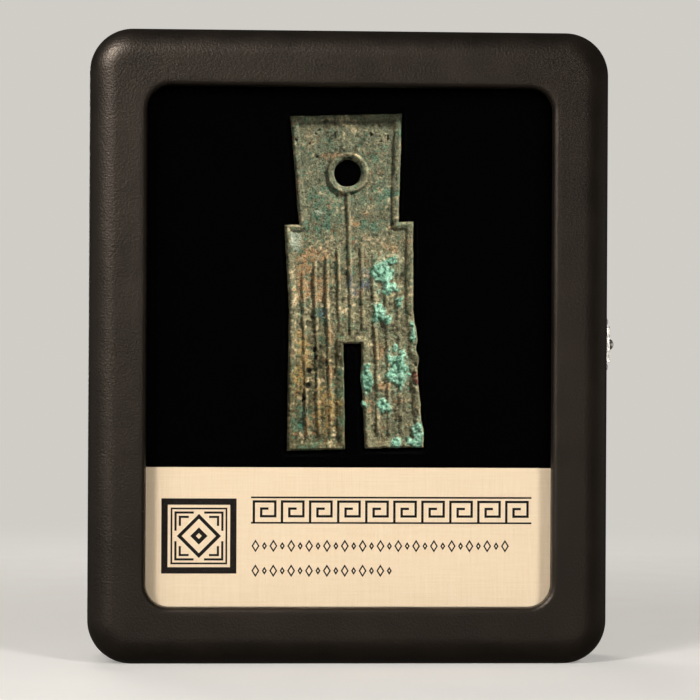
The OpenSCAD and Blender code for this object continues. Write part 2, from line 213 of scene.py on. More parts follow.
# Tones of the bronze, as screen colours
OLIVE = (104, 101, 78)
HEAD_OLIVE = (92, 94, 75)
LEG_BROWN = (74, 71, 50)
GRAIN_TAN = (190, 170, 132)
GRAIN_DARK = (32, 32, 24)
# Painted shade mixed with dirt, laid at the foot of the coin's ridges
PAINTED_FOOT_SHADE_AND_DIRT = (24, 23, 17)
# Painted highlight mixed with wear, laid along the tops of the coin's ridges
PAINTED_CREST_HIGHLIGHT_AND_WEAR = (190, 168, 128)
CRUST_GREY = (152, 160, 140)
CRUST_DUST = (132, 142, 116)
ROUGH_GREY = (62, 63, 51)
TURQUOISE = (110, 154, 130)
PALE_TURQUOISE = (142, 180, 157)
DEEP_TURQUOISE = (50, 82, 66)
PIT_BLACK = (10, 13, 12)
BACK_GREEN = (92, 156, 130)

# Layers of paint. A stain has a tone, a strength, a seed, and either places with how ragged and how grown
# they are, or the size of a noise and the values between which it comes in. A speck has a tone, the size of
# its net's cells, the share of cells that have one, and a seed.
FRONT_STAINS = [
    ((64, 100, 82), 0.6, 93, (GREEN_STAINS, 1.0, 1.2)),
    ((66, 110, 88), 0.45, 95, (2.4, 0.15, 0.7)),
    ((152, 114, 78), 0.6, 97, (RUST_STAINS, 0.9, 1.2)),
    ((138, 100, 70), 0.5, 99, (1.7, 0.3, 0.8)),
    ((160, 130, 78), 0.6, 101, (OCHRE_STAINS, 0.9, 1.2)),
    ((70, 84, 98), 0.55, 103, (BLUE_STAINS, 0.9, 1.2)),
    ((78, 28, 30), 0.9, 105, (DARK_RED_STAINS, 0.6, 1.0)),
]
BACK_STAINS = [
    ((64, 110, 90), 0.6, 135, (3.4, 0.1, 0.6)),
    ((116, 78, 50), 0.6, 137, (2.6, 0.3, 0.7)),
]
SPECKS = [
    ((122, 80, 52), 1.1, 0.15, 201),
    ((52, 108, 86), 1.0, 0.25, 211),
    ((164, 150, 116), 0.9, 0.2, 221),
    ((14, 15, 12), 0.75, 0.4, 231),
]

# Card print: places in the case
DEVICE_MID = (-25.8, 22.0)
DEVICE_HALF = 6.5
BAND_LEFT = -16.8
BAND_RIGHT = 32.0
BAND_FOOT = 24.3
BAND_H = 4.4
BAND_COUNT = 10
ROWS = [(20.3, 29.0), (16.0, 9.5)]        # height and right end of each row of lozenges
ROW_PITCH = 1.55
ROW_HALVES = (0.55, 0.3)  # half widths of a row's lozenges, in turn
ROW_START = 0.8           # first lozenge, in from the band's end
INK_T = 0.02
RULE_HALF = 4.75          # half widths of the ornament's inner frame and its two lozenges
LOZENGE_HALF = 3.4
HEART_HALF = 1.0
FRAME_LINE = 1.1          # widths of the print's lines
LOZENGE_LINE = 0.6
HEART_LINE = 0.7
HOOK_LINE = 0.38
FRET_LINE = 0.42
RULE_LINE = 0.3
ROW_LINE = 0.24

# View: fitted to the photograph
CAMERA_PLACE = (-36.31, -598.85, 54.3)
CAMERA_TARGET = (0.8, 0.0, 54.3)
CAMERA_ROLL = 0.285
CAMERA_LENS = 175.16
CAMERA_SENSOR = 36.0
MIRRORED = 0.02           # share of the surroundings' tone that shiny surfaces mirror


# Small tools

def linear(red, green, blue):
    """Screen colour from 0 to 255 turned into the linear colour that shaders take."""
    level = np.array([red, green, blue]) / 255.0
    return np.where(level <= 0.04045, level / 12.92, ((level + 0.055) / 1.055) ** 2.4)


def rgba(red, green, blue):
    """The same with full cover, for a shader's socket."""
    return (*linear(red, green, blue), 1.0)


def eased(low, high, value):
    """0 below low, 1 above high, and a smooth S between them; falls instead where low is above high."""
    share = np.clip((value - low) / (high - low), 0.0, 1.0)
    return share * share * (3.0 - 2.0 * share)


def mixed(first, second, share):
    """Blend of two colours, or of a colour into an array of them, by a share for each point."""
    share = np.asarray(share)[..., None]
    return first * (1.0 - share) + second * share


def tinted(colour, tone, share):
    """Lays a screen tone over a colour by a share for each point."""
    return mixed(colour, linear(*tone), share)


def hashed(i, j, seed):
    """A repeatable number from 0 to 1 for each whole-numbered cell: its indices are multiplied by large
    primes, folded over themselves and kept to 31 bits."""
    n = (i.astype(np.int64) * 374761393 + j.astype(np.int64) * 668265263 + seed * 974711) & 0x7FFFFFFF
    n = ((n ^ (n >> 13)) * 1274126177) & 0x7FFFFFFF
    n = ((n ^ (n >> 15)) * 2246822519) & 0x7FFFFFFF
    return (n ^ (n >> 16)) / 0x7FFFFFFF


def mottle(x, z, size, seed):
    """Smooth random surface from -1 to 1: a hashed height at each corner of a square net, eased between."""
    u, v = x / size, z / size
    i, j = np.floor(u), np.floor(v)
    right, up = eased(0.0, 1.0, u - i), eased(0.0, 1.0, v - j)
    low = hashed(i, j, seed) * (1 - right) + hashed(i + 1, j, seed) * right
    high = hashed(i, j + 1, seed) * (1 - right) + hashed(i + 1, j + 1, seed) * right
    return 2.0 * (low * (1 - up) + high * up) - 1.0


def layered(x, z, size, seed, layers=3):
    """Several mottles added up, each turned, half as large and half as strong as the one before it."""
    total, strength = np.zeros_like(x), 1.0
    for layer in range(layers):
        total += strength * mottle(x, z, size, seed + 17 * layer)
        x, z = 0.8 * x - 0.6 * z, 0.6 * x + 0.8 * z
        size, strength = size / 2.0, strength / 2.0
    return total / (2.0 - 2.0 ** (1 - layers))


def grains(x, z, size, seed):
    """Distance to the nearest of a set of scattered points, one in each cell, as a share of the cell."""
    u, v = x / size, z / size
    i, j = np.floor(u), np.floor(v)
    nearest = np.full(x.shape, 9.0)
    for di in (-1, 0, 1):
        for dj in (-1, 0, 1):
            a, b = i + di, j + dj
            away = np.hypot(u - a - hashed(a, b, seed), v - b - hashed(a, b, seed + 5))
            nearest = np.minimum(nearest, away)
    return nearest


def blurred(field, reach):
    """Mean of a field over a square of cells round each one, from running sums along both directions."""
    for axis in (0, 1):
        pad = [(reach + 1, reach) if k == axis else (0, 0) for k in (0, 1)]
        sums = np.cumsum(np.pad(field, pad, mode="edge"), axis=axis)
        count = field.shape[axis]
        upper = np.take(sums, np.arange(count) + 2 * reach + 1, axis=axis)
        lower = np.take(sums, np.arange(count), axis=axis)
        field = (upper - lower) / (2 * reach + 1)
    return field


def patches(x, z, places, ragged, seed, grown=1.0):
    """Share from 0 to 1 by which a point lies in any listed patch: its distance from the nearest middle in
    half widths, after noise has pushed the point about and made the border ragged."""
    push_x = 0.5 * layered(x, z, 2.2, seed + 1) + 0.25 * layered(x, z, 0.8, seed + 2)
    push_z = 0.5 * layered(x, z, 2.2, seed + 3) + 0.25 * layered(x, z, 0.8, seed + 4)
    near = np.full(x.shape, 9.0)
    for across, up, half_w, half_h in places:
        away_x, away_z = (x + push_x - across) / half_w, (z + push_z - up) / half_h
        near = np.minimum(near, np.hypot(away_x, away_z))
    return eased(1.2, 0.65, near / grown + ragged * layered(x, z, 0.9, seed))


def specks(x, z, size, share, seed):
    """Small dots, one in each chosen cell of a net: 1 in the middle of a dot. Share is how many cells have
    one."""
    u, v = x / size, z / size
    i, j = np.floor(u), np.floor(v)
    away = np.hypot(u - i - 0.25 - 0.5 * hashed(i, j, seed), v - j - 0.25 - 0.5 * hashed(i, j, seed + 5))
    away = away * (1.0 + 0.7 * mottle(x, z, 0.35, seed + 3))
    dot = 0.1 + 0.2 * hashed(i, j, seed + 7)
    return eased(1.2, 0.5, away / dot) * (hashed(i, j, seed + 9) < share)


def grid_quads(rows, columns):
    """Corner numbers of the quads of a grid that closes on itself both ways, row by row."""
    row, column = np.meshgrid(np.arange(rows), np.arange(columns), indexing="ij")
    below, beside = (row + 1) % rows, (column + 1) % columns
    corners = ((row, column), (below, column), (below, beside), (row, beside))
    return np.stack([at_row * columns + at_column for at_row, at_column in corners], -1).reshape(-1, 4)


def piece(name, points, quads, finish, body, replaced=(), attributes=None, sharp=40.0):
    """Puts points in millimetres and quads into a mesh, with its attributes, and lets it ride on a body."""
    mesh = bpy.data.meshes.new(name)
    mesh.vertices.add(len(points))
    mesh.vertices.foreach_set("co", (points * MM).astype(np.float32).ravel())
    mesh.loops.add(quads.size)
    mesh.loops.foreach_set("vertex_index", quads.astype(np.int32).ravel())
    mesh.polygons.add(len(quads))
    mesh.polygons.foreach_set("loop_start", (4 * np.arange(len(quads))).astype(np.int32))
    mesh.update(calc_edges=True)
    mesh.validate()
    for label, values in (attributes or {}).items():
        coloured = values.ndim == 2
        layer = mesh.attributes.new(label, "FLOAT_COLOR" if coloured else "FLOAT", "POINT")
        layer.data.foreach_set("color" if coloured else "value", values.astype(np.float32).ravel())
    mesh.materials.append(finish)
    mesh.shade_smooth()
    mesh.set_sharp_from_angle(angle=math.radians(sharp))
    made = new_object(name, mesh)
    settle(made, body, replaced)
    return made


def new_object(name, data):
    """Puts a mesh, lamp or camera into the scene as an object."""
    made = bpy.data.objects.new(name, data)
    bpy.context.scene.collection.objects.link(made)
    return made


def settle(made, body, replaced):
    """Lets a finished piece ride on a body and hides the imported nodes that it stands for."""
    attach(made, body)
    if replaced:
        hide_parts(*replaced)


# Finishes

def add(tree, kind, sockets=None, **settings):
    """Adds a shader node; sockets gives each input a value or the output that feeds it."""
    made = tree.nodes.new("ShaderNode" + kind)
    for name, value in settings.items():
        setattr(made, name, value)
    for name, value in (sockets or {}).items():
        if isinstance(value, bpy.types.NodeSocket):
            tree.links.new(value, made.inputs[name])
        else:
            made.inputs[name].default_value = value
    return made


def new_finish(name, **sockets):
    """A material with one principled shader; sockets are its fixed values, written with underscores."""
    material = bpy.data.materials.new(name)
    material.use_nodes = True
    shader = material.node_tree.nodes["Principled BSDF"]
    for socket, value in sockets.items():
        shader.inputs[socket.replace("_", " ")].default_value = value
    return material, material.node_tree, shader


def feed(shader, **outputs):
    """Links outputs to a shader's inputs, whose names are written with underscores."""
    for socket, output in outputs.items():
        shader.id_data.links.new(output, shader.inputs[socket.replace("_", " ")])


def object_place(tree):
    """Place on the object, in metres."""
    return add(tree, "TexCoord").outputs["Object"]


def noise(tree, place, scale, detail=3.0, rough=0.55):
    """Noise from 0 to 1 with the given number of lumps in a metre."""
    sockets = {"Vector": place, "Scale": scale, "Detail": detail, "Roughness": rough}
    return add(tree, "TexNoise", sockets).outputs["Fac"]


def stretched(tree, place, scale):
    """A place with each direction scaled by its own factor."""
    return add(tree, "Mapping", {"Vector": place, "Scale": scale}).outputs["Vector"]


def ramp(tree, factor, *stops):
    """Colours along a factor: each stop is a position and a linear colour."""
    made = add(tree, "ValToRGB", {"Fac": factor})
    elements = made.color_ramp.elements
    while len(elements) < len(stops):
        elements.new(0.5)
    for element, (position, colour) in zip(elements, stops):
        element.position = position
        element.color = colour
    return made.outputs["Color"]


def spread(tree, factor, low, high, out_low, out_high):
    """Maps a factor's range onto another range, clamped."""
    sockets = {"Value": factor, "From Min": low, "From Max": high, "To Min": out_low, "To Max": out_high}
    return add(tree, "MapRange", sockets).outputs["Result"]


def maths(tree, operation, first, second):
    """One step of arithmetic on two values."""
    return add(tree, "Math", {0: first, 1: second}, operation=operation).outputs["Value"]


def weighted(tree, first, first_share, second, second_share):
    """Sum of two values, each taken by its share."""
    return maths(tree, "ADD", maths(tree, "MULTIPLY", first, first_share),
                 maths(tree, "MULTIPLY", second, second_share))


def blended(tree, factor, first, second):
    """Colour between two, by a factor."""
    sockets = {"Factor": factor, 6: first, 7: second}
    return add(tree, "Mix", sockets, data_type="RGBA").outputs[2]


def bump(tree, height, depth, under=None):
    """Surface tilt from a height of 0 to 1 that is depth metres high, on top of another tilt if given."""
    sockets = {"Height": height, "Distance": depth, "Strength": 1.0}
    if under is not None:
        sockets["Normal"] = under
    return add(tree, "Bump", sockets).outputs["Normal"]


def leather_finish():
    """Black-brown leatherette: pebbled grain with cells 0.4 mm wide, slow mottling of colour and gloss, and
    fine creases that run across the rounded shoulders."""
    material, tree, shader = new_finish(
        "leatherette", Specular_IOR_Level=0.8, Specular_Tint=(1.0, 0.84, 0.7, 1.0))
    place = object_place(tree)
    cells = add(tree, "TexVoronoi", {"Vector": place, "Scale": 2600.0, "Randomness": 1.0}, feature="F1")
    pebbles = cells.outputs["Distance"]
    slow = noise(tree, place, 160.0, 4.0)
    fine = noise(tree, place, 4200.0, 2.0)
    tone = weighted(tree, slow, 0.6, fine, 0.4)
    dark, light = rgba(8, 6, 4), rgba(25, 19, 14)
    coloured = ramp(tree, tone, (0.34, dark), (0.66, light))
    uneven = spread(tree, fine, 0.3, 0.7, -0.06, 0.06)
    gloss = maths(tree, "ADD", spread(tree, slow, 0.3, 0.7, 0.42, 0.48), uneven)
    way = add(tree, "UVMap", uv_map="way").outputs["UV"]
    creases = noise(tree, stretched(tree, way, (260.0, 16.0, 1.0)), 1.0, 4.0, 0.65)
    shoulder = add(tree, "Attribute", attribute_name="shoulder").outputs["Fac"]
    folds = maths(tree, "MULTIPLY", spread(tree, creases, 0.4, 0.62, 1.0, 0.0), shoulder)
    tilt = bump(tree, folds, 0.000005)
    tilt = bump(tree, pebbles, -0.00003, tilt)
    tilt = bump(tree, fine, 0.000013, tilt)
    feed(shader, Base_Color=coloured, Roughness=gloss, Normal=tilt)
    return material


def bronze_finish():
    """Old bronze: the patina worked out for each point, broken up by flecks and dark pores a tenth of a
    millimetre wide, matt in the crusts and faintly shiny where the bare metal is worn."""
    material, tree, shader = new_finish("old_bronze", Specular_IOR_Level=0.06)
    place = object_place(tree)
    patina = add(tree, "Attribute", attribute_name="patina").outputs["Color"]
    crust = add(tree, "Attribute", attribute_name="crust").outputs["Fac"]
    flecks = noise(tree, place, 4200.0, 3.0, 0.7)
    clouds = noise(tree, place, 900.0, 3.0)
    patchy = spread(tree, clouds, 0.3, 0.7, 0.8, 1.2)
    pores = add(tree, "TexVoronoi", {"Vector": place, "Scale": 2300.0}, feature="F1").outputs["Distance"]
    dotted = maths(tree, "MULTIPLY", spread(tree, pores, 0.12, 0.34, 0.5, 1.04), patchy)
    shade = maths(tree, "MULTIPLY", spread(tree, flecks, 0.38, 0.62, 0.55, 1.45), dotted)
    coloured = add(tree, "VectorMath", {0: patina, "Scale": shade}, operation="SCALE").outputs["Vector"]
    uneven = spread(tree, flecks, 0.3, 0.7, -0.08, 0.08)
    rough = maths(tree, "ADD", spread(tree, crust, 0.0, 1.0, 0.62, 0.88), uneven)
    tilt = bump(tree, spread(tree, pores, 0.1, 0.4, 0.0, 1.0), 0.00006, bump(tree, flecks, 0.00005))
    feed(shader, Base_Color=coloured, Roughness=rough, Normal=tilt)
    return material


def velvet_finish():
    """Black velvet: almost no colour, a faint sheen from its pile and a few pale specks of dust."""
    material, tree, shader = new_finish(
        "black_velvet", Roughness=0.95, Specular_IOR_Level=0.0, Sheen_Weight=0.01, Sheen_Roughness=0.4)
    place = object_place(tree)
    pile = noise(tree, place, 3800.0, 3.0, 0.7)
    dust = add(tree, "TexVoronoi", {"Vector": place, "Scale": 260.0}, feature="F1").outputs["Distance"]
    chosen = noise(tree, place, 70.0, 1.0)
    deep, black = (0.0004, 0.0003, 0.0004, 1.0), (0.0009, 0.0007, 0.0008, 1.0)
    grey = (0.05, 0.048, 0.045, 1.0)
    nap = ramp(tree, pile, (0.3, deep), (0.7, black))
    dusty = spread(tree, chosen, 0.56, 0.6, 0.0, 1.0)
    speck = maths(tree, "MULTIPLY", spread(tree, dust, 0.02, 0.045, 1.0, 0.0), dusty)
    feed(shader, Base_Color=blended(tree, speck, nap, grey), Normal=bump(tree, pile, 0.0002))
    return material


def linen_card_finish():
    """Cream card pressed with a linen weave: threads a third of a millimetre apart both ways, each uneven
    along its length."""
    material, tree, shader = new_finish("linen_card", Roughness=0.9, Specular_IOR_Level=0.1)
    place = object_place(tree)
    across = noise(tree, stretched(tree, place, (120.0, 120.0, 3100.0)), 1.0, 2.0, 0.6)
    up = noise(tree, stretched(tree, place, (3100.0, 120.0, 120.0)), 1.0, 2.0, 0.6)
    fibres = noise(tree, place, 2400.0, 3.0, 0.6)
    weave = weighted(tree, across, 0.5, up, 0.5)
    tone = weighted(tree, weave, 0.8, fibres, 0.2)
    thin, plain, thick = rgba(239, 214, 178), rgba(244, 220, 187), rgba(247, 225, 195)
    shaded = ramp(tree, tone, (0.34, thin), (0.5, plain), (0.66, thick))
    feed(shader, Base_Color=shaded, Normal=bump(tree, weave, 0.00004))
    return material


def ink_finish():
    """Black printing ink, a little uneven where the card's weave took less of it."""
    material, tree, shader = new_finish("printing_ink", Roughness=0.7, Specular_IOR_Level=0.15)
    worn = noise(tree, object_place(tree), 2600.0, 3.0, 0.65)
    feed(shader, Base_Color=ramp(tree, worn, (0.35, rgba(14, 11, 10)), (0.8, rgba(38, 31, 26))))
    return material


def metal_finish(name, colour, rough, lines):
    """Plated or drawn metal: fine lines along one direction and a little tarnish in slow patches."""
    material, tree, shader = new_finish(name, Metallic=1.0)
    place = object_place(tree)
    drawn = noise(tree, stretched(tree, place, lines), 1.0, 3.0, 0.6)
    tarnish = noise(tree, place, 900.0, 3.0)
    dull = tuple(0.84 * c for c in colour[:3]) + (1.0,)
    coloured = ramp(tree, tarnish, (0.32, dull), (0.6, colour))
    uneven = spread(tree, drawn, 0.3, 0.7, -0.05, 0.05)
    gloss = maths(tree, "ADD", spread(tree, tarnish, 0.3, 0.7, rough + 0.08, rough), uneven)
    feed(shader, Base_Color=coloured, Roughness=gloss, Normal=bump(tree, drawn, 0.0000006))
    return material


def fibre_finish(name, dark, light, size, depth, **sockets):
    """Pressed fibres, as in felt, card and board: tangled noise of the fibres' size and of the tufts that
    they mat into, for colour and tilt."""
    material, tree, shader = new_finish(name, **sockets)
    place = object_place(tree)
    warp = noise(tree, place, size * 0.35, 3.0)
    bent = add(tree, "VectorMath", {0: place, "Scale": maths(tree, "ADD", warp, 0.6)}, operation="SCALE")
    threads = noise(tree, bent.outputs["Vector"], size, 4.0, 0.7)
    tufts = noise(tree, bent.outputs["Vector"], size * 0.3, 3.0, 0.6)
    tangle = weighted(tree, threads, 0.5, tufts, 0.5)
    coloured = ramp(tree, tangle, (0.36, dark), (0.64, light))
    feed(shader, Base_Color=coloured, Normal=bump(tree, tangle, depth))
    return material


def glass_finish():
    """Clear picture glass with a coating that leaves little reflection."""
    material, _, _ = new_finish("clear_glass", Base_Color=(0.985, 0.99, 0.988, 1.0), Roughness=0.0,
                                IOR=1.06, Transmission_Weight=1.0)
    return material


LEATHER = leather_finish()
BRONZE = bronze_finish()
VELVET = velvet_finish()
LINEN_CARD = linen_card_finish()
INK = ink_finish()
NICKEL = metal_finish("bright_nickel", (0.7, 0.67, 0.62, 1.0), 0.2, (9000.0, 9000.0, 400.0))
STEEL = metal_finish("drawn_steel", (0.42, 0.42, 0.41, 1.0), 0.3, (400.0, 9000.0, 9000.0))
FELT = fibre_finish("black_felt", (0.006, 0.006, 0.006, 1.0), (0.07, 0.067, 0.063, 1.0), 1500.0, 0.0008,
                    Roughness=1.0, Specular_IOR_Level=0.05, Sheen_Weight=0.15, Sheen_Roughness=0.5)
BLACK_CARD = fibre_finish("black_card", (0.008, 0.007, 0.007, 1.0), (0.018, 0.016, 0.016, 1.0), 2600.0,
                          0.00004, Roughness=0.85, Specular_IOR_Level=0.2)
BOARD = fibre_finish("dyed_board", (0.018, 0.015, 0.013, 1.0), (0.055, 0.046, 0.039, 1.0), 1500.0, 0.0001,
                     Roughness=0.9, Specular_IOR_Level=0.2)
GLASS = glass_finish()


# Leatherette

def arc(middle, radius, start, end, steps):
    """Points along part of a circle in the section, by angles in degrees; 0 points inwards, 90 to the
    back."""
    angle = np.radians(np.linspace(start, end, steps + 1))
    return np.stack([middle[0] + radius * np.cos(angle), middle[1] + radius * np.sin(angle)], 1)


def filled(corners, step):
    """The same path with points added so that none are further apart than step."""
    runs = []
    for here, after in zip(corners[:-1], corners[1:]):
        count = max(1, int(np.ceil(np.linalg.norm(after - here) / step)))
        runs.append(here + (after - here) * np.arange(count)[:, None] / count)
    return np.concatenate(runs + [corners[-1:]])


def lid_section(inset):
    """Section of the lid from the seam, round its outside and shoulder to the window: distance in from the
    case's outline, and depth. An inset moves it into the wall."""
    front, seam, glass = lid_low[1], lid_high[1], glass_low[1]
    seam_mid = (SEAM_R, seam - SEAM_R)
    shoulder_mid = (SHOULDER_R, front + SHOULDER_R)
    window_mid = (BORDER - WINDOW_EDGE_R, front + WINDOW_EDGE_R)
    return np.concatenate([
        [(LID_WALL, seam - inset)],
        arc(seam_mid, SEAM_R - inset, 90, 180, 8),
        arc(shoulder_mid, SHOULDER_R - inset, 180, 270, 16),
        arc(window_mid, WINDOW_EDGE_R - inset, 270, 360, 6),
        [(BORDER - inset, glass)],
    ])


def base_section(inset):
    """Section of the tray from its back, round its outside to the seam."""
    back, seam = base_high[1], base_low[1]
    return np.concatenate([
        [(BACK_MARGIN, back - inset)],
        arc((BACK_R, back - BACK_R), BACK_R - inset, 90, 180, 10),
        arc((SEAM_R, seam + SEAM_R), SEAM_R - inset, 180, 270, 8),
        [(BASE_WALL, seam + inset)],
    ])


def case_path():
    """One turn round the case from the middle of its underside: for every step the corner it belongs to,
    as a share from -1 to 1 across and up, and the direction it faces. A side runs from one corner's middle
    to the next, and a corner turns through a right angle."""
    across = int((CASE_W - 2 * CORNER_R) / SKIN_STEP)
    up = int((CASE_H - 2 * CORNER_R) / SKIN_STEP)
    stretches = [
        (0, 1, -1, -1, -90, -90, across // 2), (1, 1, -1, -1, -90, 0, CORNER_STEPS),
        (1, 1, -1, 1, 0, 0, up), (1, 1, 1, 1, 0, 90, CORNER_STEPS),
        (1, -1, 1, 1, 90, 90, across), (-1, -1, 1, 1, 90, 180, CORNER_STEPS),
        (-1, -1, 1, -1, 180, 180, up), (-1, -1, -1, -1, 180, 270, CORNER_STEPS),
        (-1, 0, -1, -1, 270, 270, across // 2),
    ]
    runs = []
    for x0, x1, z0, z1, face0, face1, count in stretches:
        ends = ((x0, x1), (z0, z1), (face0, face1))
        runs.append(np.stack([np.linspace(a, b, count, endpoint=False) for a, b in ends], 1))
    return np.concatenate(runs)


def skin(name, section, corner_radii, creases, body, replaced):
    """Leatherette of the lid or the tray: a closed section carried round the case. A point that is u inside
    the outline lies at its corner's middle plus its corner radius along the direction it faces. Slow waves
    of a few hundredths of a millimetre keep it from being dead flat."""
    outer, inner = filled(section(0.0), SECTION_STEP), section(SKIN)[::-1]
    profile = np.concatenate([outer, inner])
    path = case_path()
    u, y = profile.T
    radius = np.interp(u, *corner_radii)
    face = np.radians(path[:, 2:3])
    x = path[:, 0:1] * (CASE_W / 2 - u - radius) + radius * np.cos(face)
    z = path[:, 1:2] * (CASE_H / 2 - u - radius) + radius * np.sin(face) + CASE_H / 2
    depth = np.broadcast_to(y, x.shape)
    wave = SKIN_WAVE * layered(x + 3.0 * depth, z - 2.0 * depth, 9.0, 21) - SKIN_WAVE
    wave = wave * eased(0.0, 1.5, depth_from_ends(profile, len(outer))) * eased(0.2, 2.5, u)
    along = np.gradient(outer, axis=0)
    along = along / np.linalg.norm(along, axis=1, keepdims=True)
    normal = np.zeros_like(profile)
    normal[:len(outer)] = np.stack([along[:, 1], -along[:, 0]], 1)
    side = wave * normal[:, 0]
    points = np.stack([x - side * np.cos(face), depth + wave * normal[:, 1], z - side * np.sin(face)], -1)
    rows, columns = x.shape
    made = piece(name, points.reshape(-1, 3), grid_quads(rows, columns), LEATHER, body, replaced,
                 {"shoulder": np.broadcast_to(creases(u, y), x.shape).ravel()}, sharp=50.0)
    lay_way(made, path, profile, columns)
    return made


def depth_from_ends(profile, count):
    """Distance along the outer part of a section from its nearer end."""
    run = np.concatenate([[0.0], np.cumsum(np.linalg.norm(np.diff(profile[:count], axis=0), axis=1))])
    ends = np.minimum(run, run[-1] - run)
    return np.concatenate([ends, np.zeros(len(profile) - count)])


def lay_way(made, path, profile, columns):
    """UV map of the way round the case's outline and the way along the section."""
    face = np.radians(path[:, 2])
    outline = np.stack([path[:, 0] * (CASE_W / 2 - CORNER_R) + CORNER_R * np.cos(face),
                        path[:, 1] * (CASE_H / 2 - CORNER_R) + CORNER_R * np.sin(face)], 1)
    round_steps = np.linalg.norm(np.diff(outline, axis=0, append=outline[:1]), axis=1)
    down_steps = np.linalg.norm(np.diff(profile, axis=0), axis=1)
    runs = (round_steps, down_steps)
    round_way, down_way = (np.concatenate([[0.0], np.cumsum(run)]) / WAY_UNIT for run in runs)
    corners = np.empty(len(made.data.loops), np.int32)
    made.data.loops.foreach_get("vertex_index", corners)
    row, column = corners // columns, corners % columns
    last = (row.reshape(-1, 4).max(1) == len(path) - 1) & (row.reshape(-1, 4).min(1) == 0)
    row = row + len(path) * (np.repeat(last, 4) & (row == 0))
    uv = np.stack([round_way[row], down_way[column]], 1)
    made.data.uv_layers.new(name="way").data.foreach_set("uv", uv.astype(np.float32).ravel())


def prism(outline, axis, low, high):
    """Closed block: an outline carried along X or Z from low to high. A cutting shape, not a piece."""
    count = len(outline)
    ends = [np.insert(outline, axis, at, axis=1) for at in (low, high)]
    mesh = bpy.data.meshes.new("cutter")
    ring = list(range(count))
    walls = [(i, (i + 1) % count, count + (i + 1) % count, count + i) for i in ring]
    faces = walls + [ring[::-1], [count + i for i in ring]]
    mesh.from_pydata((np.concatenate(ends) * MM).tolist(), [], faces)
    block = bmesh.new()
    block.from_mesh(mesh)
    bmesh.ops.recalc_face_normals(block, faces=block.faces)
    block.to_mesh(mesh)
    block.free()
    return new_object("cutter", mesh)


def cut_away(target, cutters):
    """Takes the cutting shapes out of a piece for good, and removes them."""
    for cutter in cutters:
        modifier = target.modifiers.new("cut", "BOOLEAN")
        modifier.operation = "DIFFERENCE"
        modifier.solver = "MANIFOLD"
        modifier.object = cutter
    graph = bpy.context.evaluated_depsgraph_get()
    shaped = target.evaluated_get(graph)
    mesh = bpy.data.meshes.new_from_object(shaped, preserve_all_data_layers=True, depsgraph=graph)
    target.modifiers.clear()
    target.data = mesh
    for cutter in cutters:
        bpy.data.objects.remove(cutter, do_unlink=True)


def hinge_cutters(side):
    """Room for both hinges in the lid (side -1) or the tray (side 1): round the knuckles and under the
    leaf."""
    axis_x = (pin_low[0] + pin_high[0]) / 2
    axis_y = (pin_low[1] + pin_high[1]) / 2
    room_r = 1.15
    leaf_end, leaf_back = hinge_high[0] + 0.12, 0.78
    past_seam, past_pin = 0.1, 0.15
    start = math.degrees(math.asin(past_seam / room_r))
    end = 360.0 - math.degrees(math.asin(leaf_back / room_r))
    turn = np.radians(np.linspace(start, end, 28))
    barrel = np.stack([axis_x + room_r * np.cos(turn), room_r * np.sin(turn)], 1)
    leaf = np.array([(leaf_end, -leaf_back), (leaf_end, past_seam)])
    outline = np.concatenate([barrel, leaf])
    outline[:, 1] = axis_y - side * outline[:, 1]
    return [prism(outline, 2, low[2] - past_pin, high[2] + past_pin) for low, high in
            ((pin_low, pin_high), (low_pin_low, low_pin_high))]


def catch_cutters():
    """Room in the tray's side for the button's flange and for the bolt's slot up to the seam."""
    bore_r, bore_depth = 1.7, 3.0
    slot_half, slot_depth = 1.6, 2.15
    past = 1.0
    mid_y, mid_z = (button_low[1:] + button_high[1:]) / 2
    side, seam = base_high[0], base_low[1] - past
    turn = np.radians(np.arange(0, 360, 10))
    bore = np.stack([mid_y + bore_r * np.cos(turn), mid_z + bore_r * np.sin(turn)], 1)
    slot = np.array([(mid_y, mid_z - slot_half), (mid_y, mid_z + slot_half), (seam, mid_z + slot_half),
                     (seam, mid_z - slot_half)])
    return [prism(bore, 0, side - bore_depth, side + past), prism(slot, 0, side - slot_depth, side + past)]


def make_leatherette():
    """Leatherette of the lid and of the tray, with its corner radius by distance in from the outline, and
    how far its creases show."""
    lid_radii = ([0.0, SHOULDER_R, BORDER - WINDOW_EDGE_R, BORDER],
                 [CORNER_R, CORNER_R - SHOULDER_R, WINDOW_R + WINDOW_EDGE_R, WINDOW_R])
    base_radii = ([0.0, CORNER_R - INNER_R, BACK_MARGIN], [CORNER_R, INNER_R, INNER_R])
    front, back = lid_low[1], base_high[1]

    def lid_creases(u, y):
        """Full on the shoulder, and fading towards the window and down the sides."""
        return eased(8.0, 3.0, u) * eased(front + 9.0, front + 4.0, y)

    def base_creases(_, y):
        """Half as strong, round the back's edge alone."""
        return 0.5 * eased(back - 6.0, back - 2.0, y)

    lid = skin("lid_leatherette", lid_section, lid_radii, lid_creases,
               "lid", ("lid_covering",))
    cut_away(lid, hinge_cutters(-1))
    base = skin("base_leatherette", base_section, base_radii, base_creases,
                "base", ("base_covering",))
    cut_away(base, hinge_cutters(1) + catch_cutters())


# Slabs: the coin and the padded bed

def outline_depth(corners, x, z):
    """Distance of each point from a closed outline, positive inside: the least distance to any of its
    sides, signed by how often a line to the right crosses them."""
    nearest = np.full(x.shape, 1e9)
    inside = np.zeros(x.shape, bool)
    for (ax, az), (bx, bz) in zip(corners, np.roll(corners, -1, axis=0)):
        wx, wz = bx - ax, bz - az
        share = np.clip(((x - ax) * wx + (z - az) * wz) / (wx * wx + wz * wz), 0.0, 1.0)
        nearest = np.minimum(nearest, np.hypot(x - ax - share * wx, z - az - share * wz))
        if wz != 0.0:
            crossing = ((az > z) != (bz > z)) & (x < ax + (z - az) * wx / wz)
            inside ^= crossing
    return np.where(inside, nearest, -nearest)


